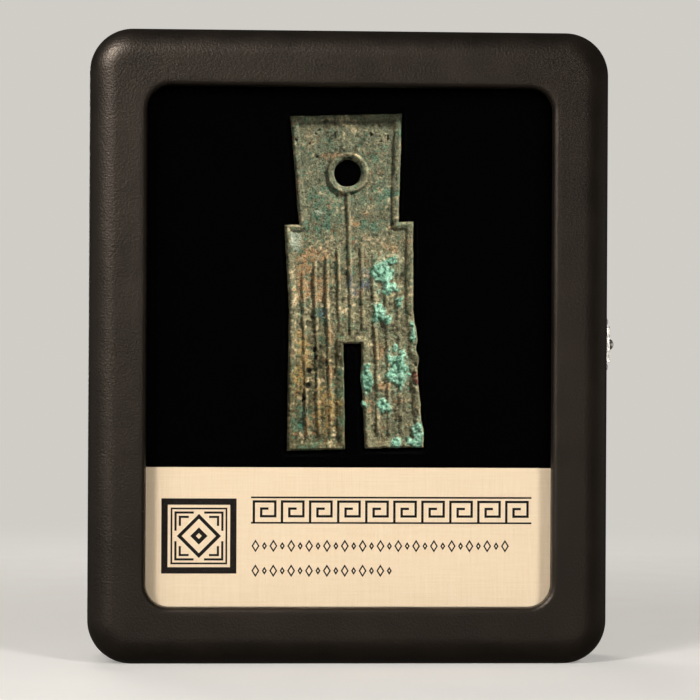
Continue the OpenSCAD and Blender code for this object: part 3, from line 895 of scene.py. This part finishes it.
def coin_outline():
    """Outline of the coin: head, shoulders, waist and two feet either side of the crotch."""
    half = [(CROTCH_TOP, CROTCH_H), (CROTCH_FOOT, 0.0), (FOOT, 0.0), (WAIST, WAIST_H),
            (SHOULDER, SHOULDER_H), (HEAD_BOTTOM, SHOULDER_H), (HEAD_TOP, COIN_H)]
    return np.array(half + [(-across, up) for across, up in half[::-1]])


def worn_outline(x, z):
    """Distance inside the coin's outline after wear: ragged by noise, more so at the right foot, and
    swollen where crusts bulge out."""
    depth = outline_depth(coin_outline(), x, z)
    depth = depth + 0.07 * layered(x, z, 1.6, 3) + 0.05 * layered(x, z, 0.5, 9, 2)
    for across, up, swell, half in EDGE_BULGES:
        depth = depth + swell * np.exp(-((x - across) ** 2 + (z - up) ** 2) / half ** 2)
    return depth - 0.1 * eased(14.0, 4.0, z) * eased(4.0, 9.0, x) * layered(x, z, 1.2, 33)


def from_hole(x, z):
    """Distance outside the hole in the coin's head, a little out of round."""
    away_x, away_z = x, z - HOLE_H
    turn = np.arctan2(away_z, away_x)
    return np.hypot(away_x, away_z) - HOLE_R - 0.06 * np.sin(2 * turn + 0.7) - 0.03 * np.sin(5 * turn)


def coin_depth(x, z):
    """Distance inside the coin, from its worn outline or its hole, whichever is nearer."""
    return np.minimum(worn_outline(x, z), from_hole(x, z))


def slab(depth_of, low, high, step):
    """Grid of points over a box, cut to an outline: keeps the cells whose middle lies inside, and moves the
    points on their border along the slope of the distance until it is nought. Returns the points' places,
    the kept quads seen from the front, and the border's sides in order of the quads."""
    across = np.arange(low[0], high[0] + step, step)
    up = np.arange(low[1], high[1] + step, step)
    x, z = np.meshgrid(across, up)
    rows, columns = x.shape
    kept = depth_of(x[:-1, :-1] + step / 2, z[:-1, :-1] + step / 2) > 0.0
    j, i = np.nonzero(kept)
    first = j * columns + i
    quads = np.stack([first, first + 1, first + columns + 1, first + columns], 1)
    sides = np.stack([quads, np.roll(quads, -1, axis=1)], -1).reshape(-1, 2)
    there = sides[:, 0] * x.size + sides[:, 1]
    back_again = sides[:, 1] * x.size + sides[:, 0]
    border = sides[~np.isin(there, back_again)]
    edge = np.unique(border)
    x, z = x.ravel(), z.ravel()
    nudge = step * 0.1
    for _ in range(4):
        ex, ez = x[edge], z[edge]
        depth = depth_of(ex, ez)
        slope_x = (depth_of(ex + nudge, ez) - depth_of(ex - nudge, ez)) / (2 * nudge)
        slope_z = (depth_of(ex, ez + nudge) - depth_of(ex, ez - nudge)) / (2 * nudge)
        steep = np.maximum(slope_x ** 2 + slope_z ** 2, 0.25)
        x[edge] -= np.clip(depth * slope_x / steep, -step, step)
        z[edge] -= np.clip(depth * slope_z / steep, -step, step)
    return x.reshape(rows, columns), z.reshape(rows, columns), quads, border


def closed_slab(x, z, quads, border, front, back, rows, bulge=None):
    """Joins a front and a back face along their border by a wall of rows, and numbers only the points used.
    Returns the points as across, depth and up, the quads, and for each point which grid point it came from
    and how far it lies from front (0) to back (1)."""
    used = np.unique(quads)
    edge = np.unique(border)
    number = np.full(x.size, -1)
    number[used] = np.arange(len(used))
    edge_number = np.full(x.size, -1)
    edge_number[edge] = np.arange(len(edge))
    x, z, front, back = (array.ravel() for array in (x, z, front, back))
    shares = np.arange(1, rows) / rows
    wall_y = front[edge] + (back[edge] - front[edge]) * shares[:, None]
    wall_x = np.broadcast_to(x[edge], wall_y.shape)
    wall_z = np.broadcast_to(z[edge], wall_y.shape)
    if bulge is not None:
        wall_x, wall_z = bulge(wall_x, wall_z, shares[:, None])
    points = np.concatenate([
        np.stack([x[used], front[used], z[used]], 1),
        np.stack([x[used], back[used], z[used]], 1),
        np.stack([wall_x, wall_y, wall_z], -1).reshape(-1, 3)])
    total = len(used)
    here, after = border.T
    ladders = [[number[side], *(2 * total + k * len(edge) + edge_number[side] for k in range(rows - 1)),
                total + number[side]] for side in (here, after)]
    near, far = ladders
    walls = [np.stack([far[k], near[k], near[k + 1], far[k + 1]], 1) for k in range(rows)]
    all_quads = np.concatenate([number[quads], total + number[quads][:, ::-1], *walls])
    came_from = np.concatenate([used, used, np.tile(edge, rows - 1)])
    how_far = np.concatenate([np.zeros(total), np.ones(total), np.repeat(shares, len(edge))])
    return points, all_quads, came_from, how_far


def ridge(away, half):
    """Height from 0 to 1 of a rounded ridge by the distance from its middle line."""
    return eased(half, 0.12, np.abs(away))


def coin_relief(x, z, outer, hole, ribbed):
    """Height of a face over its field: a rim along the outline whose top slopes inwards before it drops,
    a ring that slopes into the hole, a line below it, and on a ribbed face four ribs either side of that
    line. All of them wander and are worn unevenly."""
    wander = 0.16 * layered(x, z, 3.2, 41)
    wear = 0.85 + 0.4 * layered(x, z, 4.5, 47)
    from_edge, from_ring = outer + 0.9 * wander, hole + 0.5 * wander
    rim = 1.0 - RIM_FALL * np.clip((from_edge - RIM_CREST) / (RIM_BROW - RIM_CREST), 0.0, 1.0)
    rim = rim * eased(RIM_W, RIM_BROW, from_edge)
    ring = 0.5 + 0.5 * np.clip(from_ring / RING_CREST, 0.0, 1.0)
    ring = ring * eased(HOLE_RING_W, RING_CREST, from_ring)
    height = np.maximum(rim, ring)
    line = ridge(x + 0.6 * wander, LINE_HALF) * eased(HOLE_H, HOLE_H - 1.0, z)
    height = np.maximum(height, LINE_SHARE * line)
    if ribbed:
        for side in (-1, 1):
            for i in range(1, RIB_COUNT + 1):
                at = i * RIB_PITCH
                foot = RIB_FOOT if at > CROTCH_FOOT + RIM_W else CROTCH_H + RIM_W + 1.0
                top = RIB_TOP - i * RIB_STEP
                ends = eased(foot - 0.5, foot + 0.5, z) * eased(top + 0.5, top - 0.5, z)
                worn = RIB_SHARE * np.clip(0.95 + 0.5 * layered(x + 9.0 * i, z, 5.0, 51 + i), 0.55, 1.0)
                height = np.maximum(height, worn * ridge(x - side * at + wander, RIB_HALF) * ends)
    return RELIEF * height * np.clip(wear, 0.7, 1.0)


def coin_grain(x, z, seed):
    """Cast and corroded texture, coarser towards the feet: slow hollows, lumps, and grains under half a
    millimetre. Returns the height in millimetres, and the fine part alone from about -1 to 1."""
    coarse = 0.65 + 0.5 * eased(44.0, 20.0, z)
    hollows = 0.06 * layered(x, z, 5.0, seed)
    lumps = layered(x, z, 0.95, seed + 3)
    grit = 1.6 * (0.45 - grains(x, z, 0.5, seed + 6))
    fine = np.clip(0.7 * lumps + 0.7 * grit, -1.2, 1.2)
    return hollows + 0.14 * coarse * fine, fine


def patina_base(x, z, relief, fine, seed):
    """Colour from the relief and the grains: olive brown, greyer up the head and darker down the left
    leg, tan on the grains' tops, dark between them, painted shade mixed with dirt at the foot of the
    ridges, and a painted highlight mixed with wear along their tops."""
    hollow = relief - blurred(relief, 3)
    cloud = layered(x, z, 3.0, seed)
    shade = layered(x, z, 0.5, seed + 2, 2)
    grainy = 0.45 + 0.55 * eased(-0.35, 0.35, layered(x, z, 6.0, seed + 4))
    tone = grainy * (0.6 * fine + 0.8 * shade) + 0.55 * cloud
    up_head = eased(28.0, 46.0, z + 6 * cloud)
    colour = tinted(linear(*OLIVE), HEAD_OLIVE, up_head)
    left_leg = eased(26.0, 12.0, z + 5 * cloud) * eased(1.0, -2.0, x)
    colour = tinted(colour, LEG_BROWN, 0.85 * left_leg)
    colour = tinted(colour, GRAIN_TAN, 0.85 * eased(0.1, 1.0, tone))
    colour = tinted(colour, GRAIN_DARK, 0.88 * eased(-0.05, -0.9, tone))
    # Painted shade, partly dirt: darker at the foot of every ridge, where the relief dips below its
    # surroundings
    colour = tinted(colour, PAINTED_FOOT_SHADE_AND_DIRT, 0.6 * eased(-0.06, -0.2, hollow + 0.03 * fine))
    # Painted highlight, partly wear: lighter along every ridge top, where the relief stands above its
    # surroundings
    return tinted(colour, PAINTED_CREST_HIGHLIGHT_AND_WEAR, 0.25 * eased(0.08, 0.26, hollow + 0.05 * fine))


def stain_share(x, z, seed, source, first, second):
    """How far a stain covers each point: by its places, or by a noise of the given size."""
    if isinstance(source, list):
        return patches(x, z, source, first, seed, second)
    return eased(first, second, layered(x, z, source, seed))


def stained(colour, x, z, tone, share, strength, seed):
    """Lays a stain of one tone over a colour, broken up into grains."""
    broken = eased(-0.35, 0.3, layered(x, z, 0.5, seed, 2))
    return tinted(colour, tone, np.clip(strength * share * (0.15 + 0.85 * broken), 0.0, 1.0))


def coin_front(x, z, outer, hole):
    """Height, colour and crust of the coin's front, with the stains and crusts at their places."""
    rough = patches(x, z, ROUGH_PATCHES, 0.5, 61)
    turquoise = patches(x, z, TURQUOISE_CRUSTS, 0.6, 63, 1.15)
    dusty = patches(x, z, TURQUOISE_CRUSTS, 0.6, 63, 1.6)
    pale = patches(x, z, PALE_CRUSTS, 0.8, 65)
    pits = patches(x, z, CASTING_PITS, 1.0, 67, 0.65)
    grain, fine = coin_grain(x, z, 71)
    relief = coin_relief(x, z, outer, hole, True) * (1.0 - 0.45 * rough) * (1.0 - 0.6 * dusty)
    clods = 0.22 * layered(x, z, 1.7, 81) + 0.16 * (0.5 - grains(x, z, 0.9, 83))
    height = relief + grain + rough * clods
    sugar = 0.6 - grains(x, z, 0.62, 87)
    knobs = 0.26 + 0.18 * layered(x, z, 1.3, 85) + 0.22 * sugar
    height = height + turquoise * knobs + 0.1 * pale + 0.05 * dusty
    height = np.minimum(height - 0.25 * pits, RELIEF + LUMP_LIMIT)
    colour = patina_base(x, z, relief, fine, 91)
    for tone, strength, seed, where in FRONT_STAINS:
        colour = stained(colour, x, z, tone, stain_share(x, z, seed, *where), strength, seed + 1)
    colour = tinted(colour, CRUST_GREY, 0.6 * pale * (1.0 - 0.4 * fine))
    colour = stained(colour, x, z, CRUST_DUST, dusty, 0.7, 108)
    colour = stained(colour, x, z, ROUGH_GREY, rough, 0.6, 110)
    for tone, size, share, seed in SPECKS:
        colour = tinted(colour, tone, 0.5 * specks(x, z, size, share, seed))
    tint = layered(x, z, 0.6, 109, 2) + 1.2 * sugar - 0.25
    crust_tone = tinted(linear(*TURQUOISE), PALE_TURQUOISE, eased(0.0, 0.7, tint))
    crust_tone = tinted(crust_tone, DEEP_TURQUOISE, eased(-0.05, -0.55, tint))
    colour = mixed(colour, crust_tone, 0.92 * eased(0.2, 0.7, turquoise))
    colour = tinted(colour, PIT_BLACK, 0.95 * eased(0.15, 0.6, pits))
    return height, colour, np.maximum(turquoise, 0.6 * pale)


def coin_back(x, z, outer, hole):
    """Height, colour and crust of the coin's back: rim, ring and line, with stains scattered by noise."""
    crusts = eased(0.42, 0.6, layered(x, z, 4.0, 131))
    grain, fine = coin_grain(x, z, 121)
    relief = coin_relief(x, z, outer, hole, False)
    height = np.minimum(relief + grain + crusts * (0.08 + 0.1 * layered(x, z, 0.7, 123)), RELIEF)
    colour = patina_base(x, z, relief, fine, 133)
    for tone, strength, seed, where in BACK_STAINS:
        colour = stained(colour, x, z, tone, stain_share(x, z, seed, *where), strength, seed + 1)
    colour = tinted(colour, BACK_GREEN, 0.8 * crusts)
    return height, colour, crusts


def worn_edge(depth, radius):
    """How far a rounded edge falls away at a distance inside the outline: a quarter circle."""
    inset = radius - np.clip(depth, 0.0, radius)
    return radius - np.sqrt(np.maximum(radius ** 2 - inset ** 2, 0.0))


def placed_coin(across, up):
    """Turns the coin's own directions into the case's: leaning by its tilt, its feet's middle at its
    place."""
    lean, rise = math.sin(COIN_TILT), math.cos(COIN_TILT)
    return COIN_X + across * rise - up * lean, COIN_Z + across * lean + up * rise


def make_coin():
    """The coin: its two faces' heights and colours over one grid, joined by the pitted edge."""
    low = (-FOOT - COIN_MARGIN, -COIN_MARGIN)
    high = (FOOT + COIN_MARGIN, COIN_H + COIN_MARGIN)
    x, z, quads, border = slab(coin_depth, low, high, COIN_STEP)
    outer, hole = worn_outline(x, z), from_hole(x, z)
    fall = worn_edge(np.minimum(outer, hole), COIN_EDGE_R)
    front_height, front_colour, front_crust = coin_front(x, z, outer, hole)
    back_height, back_colour, back_crust = coin_back(x, z, outer, hole)
    front = coin_low[1] + RELIEF - front_height + fall
    back = coin_high[1] - RELIEF + back_height - fall

    def cast_edge(wall_x, wall_z, share):
        """The side stands out most half way through, into the hole at the head, and is pitted."""
        pitted = layered(wall_x + 9.0 * share, wall_z - 7.0 * share, 0.7, 151)
        out = 0.07 * np.sin(math.pi * share) + 0.06 * pitted
        in_hole = np.hypot(wall_x, wall_z - HOLE_H) < HOLE_R + 0.5
        return wall_x + out * np.sign(np.where(in_hole, -wall_x, wall_x)), wall_z

    points, all_quads, came_from, how_far = closed_slab(
        x, z, quads, border, front, back, COIN_WALL_ROWS, cast_edge)
    points[:, 0], points[:, 2] = placed_coin(points[:, 0].copy(), points[:, 2].copy())
    front_colour, back_colour = (each.reshape(-1, 3)[came_from] for each in (front_colour, back_colour))
    colour = mixed(front_colour, back_colour, how_far)
    on_wall = (how_far > 0.0) & (how_far < 1.0)
    colour = np.where(on_wall[:, None], 0.75 * colour, colour)
    patina = np.concatenate([np.clip(colour, 0.0, 1.0), np.ones((len(colour), 1))], 1)
    crust = front_crust.ravel()[came_from] * (1 - how_far) + back_crust.ravel()[came_from] * how_far
    return piece("bronze_spade_coin", points, all_quads, BRONZE, "base", ("spade_coin",),
                 {"patina": patina, "crust": crust}, sharp=75.0)


# Padded bed

def pad_depth(x, z):
    """Distance inside the padded bed's rounded rectangle."""
    half_w, half_h = (pad_high[0] - pad_low[0]) / 2, (pad_high[2] - pad_low[2]) / 2
    over_x = np.abs(x) - (half_w - PAD_CORNER_R)
    over_z = np.abs(z - CASE_H / 2) - (half_h - PAD_CORNER_R)
    outside = np.hypot(np.maximum(over_x, 0.0), np.maximum(over_z, 0.0))
    return PAD_CORNER_R - outside - np.minimum(np.maximum(over_x, over_z), 0.0)


def make_padded_bed():
    """Velvet over foam: flat in front, rolled at its edges, and pressed in under the coin."""
    low = (pad_low[0] - PAD_MARGIN, pad_low[2] - PAD_MARGIN)
    high = (pad_high[0] + PAD_MARGIN, pad_high[2] + PAD_MARGIN)
    x, z, quads, border = slab(pad_depth, low, high, PAD_STEP)
    lean, rise = math.sin(COIN_TILT), math.cos(COIN_TILT)
    across = (x - COIN_X) * rise + (z - COIN_Z) * lean
    up = (z - COIN_Z) * rise - (x - COIN_X) * lean
    coin = outline_depth(coin_outline(), across, up)
    pocket = eased(-POCKET_BROW, -POCKET_FOOT, coin)
    surface = pad_low[1] + PAD_WAVE + PAD_WAVE * layered(x, z, 8.0, 161)
    front = surface + (POCKET_FLOOR - surface) * pocket + worn_edge(pad_depth(x, z), PAD_CROWN_R)
    back = np.full(x.shape, pad_high[1])
    points, all_quads, _, _ = closed_slab(x, z, quads, border, front, back, PAD_WALL_ROWS)
    made = piece("velvet_bed", points, all_quads, VELVET, "base", ("pad_velvet", "pad_foam"),
                 sharp=60.0)


# Caption card

def ribbon(line, width, closed=False):
    """Flat stroke along a line of points: each point goes half the width to either side, along the bisector
    of its two sides, so that corners are mitred. Returns left and right points."""
    line = np.asarray(line, float)
    if closed:
        way_in, way_out = line - np.roll(line, 1, axis=0), np.roll(line, -1, axis=0) - line
    else:
        way = np.diff(line, axis=0)
        way_in, way_out = np.concatenate([way[:1], way]), np.concatenate([way, way[-1:]])
    normals = []
    for way in (way_in, way_out):
        unit = way / np.linalg.norm(way, axis=1, keepdims=True)
        normals.append(np.stack([-unit[:, 1], unit[:, 0]], 1))
    mitre = sum(normals) / (1.0 + (normals[0] * normals[1]).sum(1, keepdims=True))
    return line + width / 2 * mitre, line - width / 2 * mitre


def stroke_slab(line, width, closed=False):
    """Points and quads of a stroke as a thin slab lying on the card."""
    left, right = ribbon(line, width, closed)
    count = len(left)
    top, foot = card_low[1] - INK_T, card_low[1]
    rails = [np.insert(rail, 1, depth, axis=1) for rail, depth in
             ((left, top), (right, top), (right, foot), (left, foot))]
    points = np.concatenate(rails)
    steps = np.arange(count if closed else count - 1)
    after = (steps + 1) % count
    quads = [np.stack([a * count + steps, b * count + steps, b * count + after, a * count + after], 1)
             for a, b in ((0, 1), (1, 2), (2, 3), (3, 0))]
    if not closed:
        end = count - 1
        quads.append(np.array([[0, 3 * count, 2 * count, count],
                               [end, count + end, 2 * count + end, 3 * count + end]]))
    return points, np.concatenate(quads)


def diamond(mid, half_w, half_h):
    """Corners of a lozenge."""
    return np.array([(mid[0] + half_w, mid[1]), (mid[0], mid[1] + half_h), (mid[0] - half_w, mid[1]),
                     (mid[0], mid[1] - half_h)])


def square(mid, half):
    """Corners of a square."""
    turns = ((1, -1), (1, 1), (-1, 1), (-1, -1))
    return np.array([(mid[0] + a * half, mid[1] + b * half) for a, b in turns])


def device_strokes():
    """Square ornament: two frames, a lozenge with a small one in it, and a hook turned into each corner."""
    strokes = [
        (square(DEVICE_MID, DEVICE_HALF - FRAME_LINE / 2), FRAME_LINE, True),
        (square(DEVICE_MID, RULE_HALF), RULE_LINE, True),
        (diamond(DEVICE_MID, LOZENGE_HALF, LOZENGE_HALF), LOZENGE_LINE, True),
        (diamond(DEVICE_MID, HEART_HALF, HEART_HALF), HEART_LINE, True),
    ]
    hook = np.array([(4.05, 0.9), (4.05, 4.05), (0.9, 4.05)])
    inner_hook = np.array([(3.3, 1.75), (3.3, 3.3), (1.75, 3.3)])
    for side in (-1, 1):
        for end in (-1, 1):
            for line in (hook, inner_hook):
                strokes.append((np.array(DEVICE_MID) + line * (side, end), HOOK_LINE, False))
    return strokes


def band_strokes():
    """Running fret: squared hooks standing side by side on a rule, with a rule over them."""
    pitch = (BAND_RIGHT - BAND_LEFT) / BAND_COUNT
    hook = np.array([(0.10, 0.0), (0.10, 0.84), (0.86, 0.84), (0.86, 0.26), (0.36, 0.26), (0.36, 0.56),
                     (0.62, 0.56)])
    size = np.array([pitch, BAND_H])
    foot = np.array([BAND_LEFT, BAND_FOOT])
    strokes = [(foot + (np.array([k, 0.0]) + hook) * size, FRET_LINE, False) for k in range(BAND_COUNT)]
    for height in (0.0, BAND_H):
        rule = np.array([(BAND_LEFT, BAND_FOOT + height), (BAND_RIGHT, BAND_FOOT + height)])
        strokes.append((rule, RULE_LINE, False))
    return strokes


def row_strokes():
    """Two rows of small lozenges, every second one smaller."""
    strokes = []
    for height, right in ROWS:
        count = int((right - BAND_LEFT) / ROW_PITCH)
        for k in range(count):
            mid = (BAND_LEFT + ROW_START + ROW_PITCH * k, height)
            half = ROW_HALVES[k % 2]
            strokes.append((diamond(mid, half, 1.6 * half), ROW_LINE, True))
    return strokes


def make_card():
    """The card and its print, one thin piece made of all the strokes."""
    soften("linen_caption_card", "caption_card", CARD_EDGE, LINEN_CARD)
    points, quads, count = [], [], 0
    for line, width, closed in device_strokes() + band_strokes() + row_strokes():
        made_points, made_quads = stroke_slab(line, width, closed)
        points.append(made_points)
        quads.append(made_quads + count)
        count += len(made_points)
    points, quads = np.concatenate(points), np.concatenate(quads)
    piece("card_print", points, quads, INK, "base", sharp=30.0)


# Hardware, glass and hidden pieces

def body_of_node(node):
    """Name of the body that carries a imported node."""
    bodies = frame["record"]["behaviour"]["bodies"]
    return next(body for body, nodes in bodies.items() if node in nodes)


def soften(name, node, width, finish):
    """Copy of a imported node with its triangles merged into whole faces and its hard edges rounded."""
    shape = bmesh.new()
    shape.from_mesh(frame["nodes"][node].data)
    bmesh.ops.remove_doubles(shape, verts=shape.verts, dist=MERGE_GAP * MM)
    bmesh.ops.dissolve_limit(shape, angle_limit=math.radians(1.0), verts=shape.verts, edges=shape.edges)
    mesh = bpy.data.meshes.new(name)
    shape.to_mesh(mesh)
    shape.free()
    if "custom_normal" in mesh.attributes:
        mesh.attributes.remove(mesh.attributes["custom_normal"])
    mesh.materials.clear()
    mesh.materials.append(finish)
    mesh.shade_smooth()
    mesh.set_sharp_from_angle(angle=math.radians(HARD_EDGE))
    made = new_object(name, mesh)
    rounding = made.modifiers.new("rounded edges", "BEVEL")
    rounding.width = width * MM
    rounding.segments = 2
    rounding.limit_method = "ANGLE"
    rounding.angle_limit = math.radians(HARD_EDGE)
    rounding.use_clamp_overlap = True
    settle(made, body_of_node(node), (node,))
    return made


def make_hardware():
    """Plates, hinge leaves, glass and felt with rounded edges, the spring on a mesh of its own, and
    finishes for the nodes that are left as they are."""
    for node in ("strike_plate", "catch_housing"):
        soften("bright_" + node, node, PLATE_EDGE, NICKEL)
    for which in ("upper", "lower"):
        for leaf in ("base", "lid"):
            node = f"{which}_hinge_{leaf}_leaf"
            soften("bright_" + node, node, LEAF_EDGE, NICKEL)
    pane = soften("picture_glass", "glass_pane", PANE_EDGE, GLASS)
    pane.visible_shadow = False
    soften("felt_back", "back_sheet", FELT_EDGE, FELT)
    coil = soften("coil_spring", "catch_spring", 0.0, STEEL)
    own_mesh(coil)
    finishes = {
        "base_tray": BOARD, "lid_frame": BOARD, "pad_board": BOARD, "inner_collar": BLACK_CARD,
        "glass_retainer": BLACK_CARD, "hinge_base_nails": NICKEL, "hinge_lid_nails": NICKEL,
        "strike_nails": NICKEL, "catch_nails": NICKEL, "catch_button": NICKEL, "upper_hinge_pin": STEEL,
        "lower_hinge_pin": STEEL, "catch_bolt": STEEL,
    }
    for node, finish in finishes.items():
        for slot in frame["nodes"][node].material_slots:
            slot.material = finish


# Studio

BACKDROP = rgba(208, 205, 199)
KEY_TINT = (1.0, 0.98, 0.96)
SOFT_TINT = (1.0, 0.98, 0.95)
LEFT_TINT = (1.0, 0.97, 0.94)
BACK_TINT = (1.0, 0.96, 0.9)
BACK_GLINT_TINT = (1.0, 0.94, 0.86)


def seen_share(tree):
    """How far a ray sees the pale surroundings: fully if it comes straight from the camera or through
    glass, a little if it is mirrored, so that the dark leatherette keeps its shading, and not at all once a
    matt surface has scattered it."""
    path = add(tree, "LightPath")
    straight = maths(tree, "MAXIMUM", path.outputs["Is Camera Ray"], path.outputs["Is Transmission Ray"])
    mirrored = maths(tree, "MULTIPLY", path.outputs["Is Glossy Ray"], MIRRORED)
    unscattered = maths(tree, "LESS_THAN", path.outputs["Diffuse Depth"], 0.5)
    return maths(tree, "MULTIPLY", maths(tree, "MAXIMUM", straight, mirrored), unscattered)


def make_stage():
    """Wide pale floor: paper that takes the case's shadow near it, and fades into the backdrop's own
    tone."""
    half, near, far = 3000.0, 90.0, 480.0
    material, tree, shader = new_finish("pale_paper", Roughness=0.9, Specular_IOR_Level=0.0)
    place = object_place(tree)
    tone = noise(tree, place, 60.0, 3.0)
    pale = ramp(tree, tone, (0.3, rgba(236, 233, 228)), (0.7, rgba(240, 237, 232)))
    away = add(tree, "VectorMath", {0: place}, operation="LENGTH").outputs["Value"]
    fade = {"Value": away, "From Min": near * MM, "From Max": far * MM}
    distant = add(tree, "MapRange", fade, interpolation_type="SMOOTHSTEP").outputs["Result"]
    seen = seen_share(tree)
    paper = blended(tree, distant, pale, (0.0, 0.0, 0.0, 1.0))
    coloured = blended(tree, seen, rgba(92, 90, 86), paper)
    glow = blended(tree, distant, pale, BACKDROP)
    strength = maths(tree, "MULTIPLY", seen, spread(tree, distant, 0.0, 1.0, 0.3, 1.0))
    feed(shader, Base_Color=coloured, Emission_Color=glow, Emission_Strength=strength)
    corners = np.array([(-half, -half, 0.0), (half, -half, 0.0), (half, half, 0.0), (-half, half, 0.0)])
    mesh = bpy.data.meshes.new("studio_floor")
    mesh.from_pydata((corners * MM).tolist(), [], [(0, 1, 2, 3)])
    mesh.materials.append(material)
    made = new_object("studio_floor", mesh)
    return made


def make_world():
    """Pale surroundings for the camera, which light the case only faintly."""
    world = bpy.data.worlds.new("studio")
    world.use_nodes = True
    tree = world.node_tree
    background = tree.nodes["Background"]
    background.inputs["Color"].default_value = BACKDROP
    feed(background, Strength=spread(tree, seen_share(tree), 0.0, 1.0, 0.05, 1.0))
    bpy.context.scene.world = world


def lamp(name, azimuth, elevation, distance, size, power, tint, lights=True, glints=True):
    """Soft rectangular lamp aimed at the middle of the case, placed as a view is: azimuth 0 in front. It
    can light matt surfaces, give shiny ones their glints, or both. Rays that a matt piece scatters through
    the pane don't find it a second time."""
    turn, rise = math.radians(azimuth), math.radians(elevation)
    way = Vector((math.sin(turn) * math.cos(rise), -math.cos(turn) * math.cos(rise), math.sin(rise)))
    light = bpy.data.lights.new(name, "AREA")
    light.shape = "RECTANGLE"
    light.size, light.size_y = size[0] * MM, size[1] * MM
    light.energy = power
    light.color = tint
    made = new_object(name, light)
    made.location = Vector((0.0, 0.0, CASE_H / 2 * MM)) + way * distance * MM
    made.rotation_euler = way.to_track_quat("Z", "Y").to_euler()
    made.visible_diffuse = lights
    made.visible_glossy = glints
    made.visible_transmission = False
    return made


def reach(light, pieces, kept):
    """Keeps a lamp to the listed pieces, or keeps it off them."""
    group = bpy.data.collections.new(light.name + "_reach")
    for made in pieces:
        group.objects.link(made)
    for entry in group.collection_objects:
        entry.light_linking.link_state = "INCLUDE" if kept else "EXCLUDE"
    light.light_linking.receiver_collection = group


def wears(made, finish):
    """Whether an object has a finish."""
    return any(slot.material == finish for slot in made.material_slots)


def make_lights(coin, floor):
    """Two soft lamps from the front for the case and its card, a raking one for the coin's relief, glints
    for the leatherette and the catch, faint lamps for the sides and the plated pieces on them, and two for
    the back."""
    right_key = lamp("right_key", 25.0, 20.0, 700.0, (120.0, 120.0), 2.1, KEY_TINT, glints=False)
    left_key = lamp("left_key", -27.0, 20.0, 700.0, (120.0, 120.0), 2.3, KEY_TINT, glints=False)
    lamp("front_softbox", -22.0, 19.0, 800.0, (220.0, 260.0), 1.0, SOFT_TINT)
    raking = lamp("raking", 52.0, 43.0, 700.0, (40.0, 40.0), 12.4, SOFT_TINT, glints=False)
    left = lamp("left_softbox", -45.0, 35.0, 620.0, (150.0, 150.0), 3.2, LEFT_TINT, lights=False)
    for light in (right_key, left_key, left):
        reach(light, [coin], kept=False)
    reach(raking, [coin], kept=True)
    lamp("catch_glint", 12.6, 0.0, 700.0, (36.0, 120.0), 0.12, SOFT_TINT, lights=False)
    for name, azimuth in (("right_side", 97.0), ("left_side", 263.0)):
        beside = lamp(name, azimuth, 0.0, 300.0, (260.0, 108.0), 0.02, SOFT_TINT)
        reach(beside, [floor], kept=False)
    plated = [made for made in bpy.data.objects if wears(made, NICKEL)]
    for name, azimuth in (("right_plate_glint", 100.0), ("left_plate_glint", 260.0)):
        near = lamp(name, azimuth, 0.0, 170.0, (300.0, 108.0), 0.03, SOFT_TINT, lights=False)
        reach(near, plated, kept=True)
    lamp("back_softbox", 195.0, 40.0, 800.0, (300.0, 300.0), 1.7, BACK_TINT, glints=False)
    lamp("back_glint", 190.0, 6.0, 700.0, (240.0, 160.0), 0.8, BACK_GLINT_TINT, lights=False)
    bpy.context.scene.view_settings.view_transform = "Standard"


def make_camera():
    """Camera at the photograph's place, looking level at its target and turned by its roll."""
    place, target = Vector(CAMERA_PLACE) * MM, Vector(CAMERA_TARGET) * MM
    forward = (target - place).normalized()
    right = forward.cross(Vector((0.0, 0.0, 1.0))).normalized()
    up = right.cross(forward)
    roll = math.radians(CAMERA_ROLL)
    across = right * math.cos(roll) + up * math.sin(roll)
    upright = up * math.cos(roll) - right * math.sin(roll)
    stand = Matrix((across, upright, -forward)).transposed().to_4x4()
    stand.translation = place
    lens = bpy.data.cameras.new("camera")
    lens.lens = CAMERA_LENS
    lens.sensor_width = CAMERA_SENSOR
    lens.clip_start, lens.clip_end = 0.01, 10.0
    made = new_object("camera", lens)
    made.matrix_world = stand
    bpy.context.scene.camera = made


make_camera()
make_leatherette()
spade_coin = make_coin()
make_padded_bed()
make_card()
make_hardware()
studio_floor = make_stage()
make_world()
make_lights(spade_coin, studio_floor)
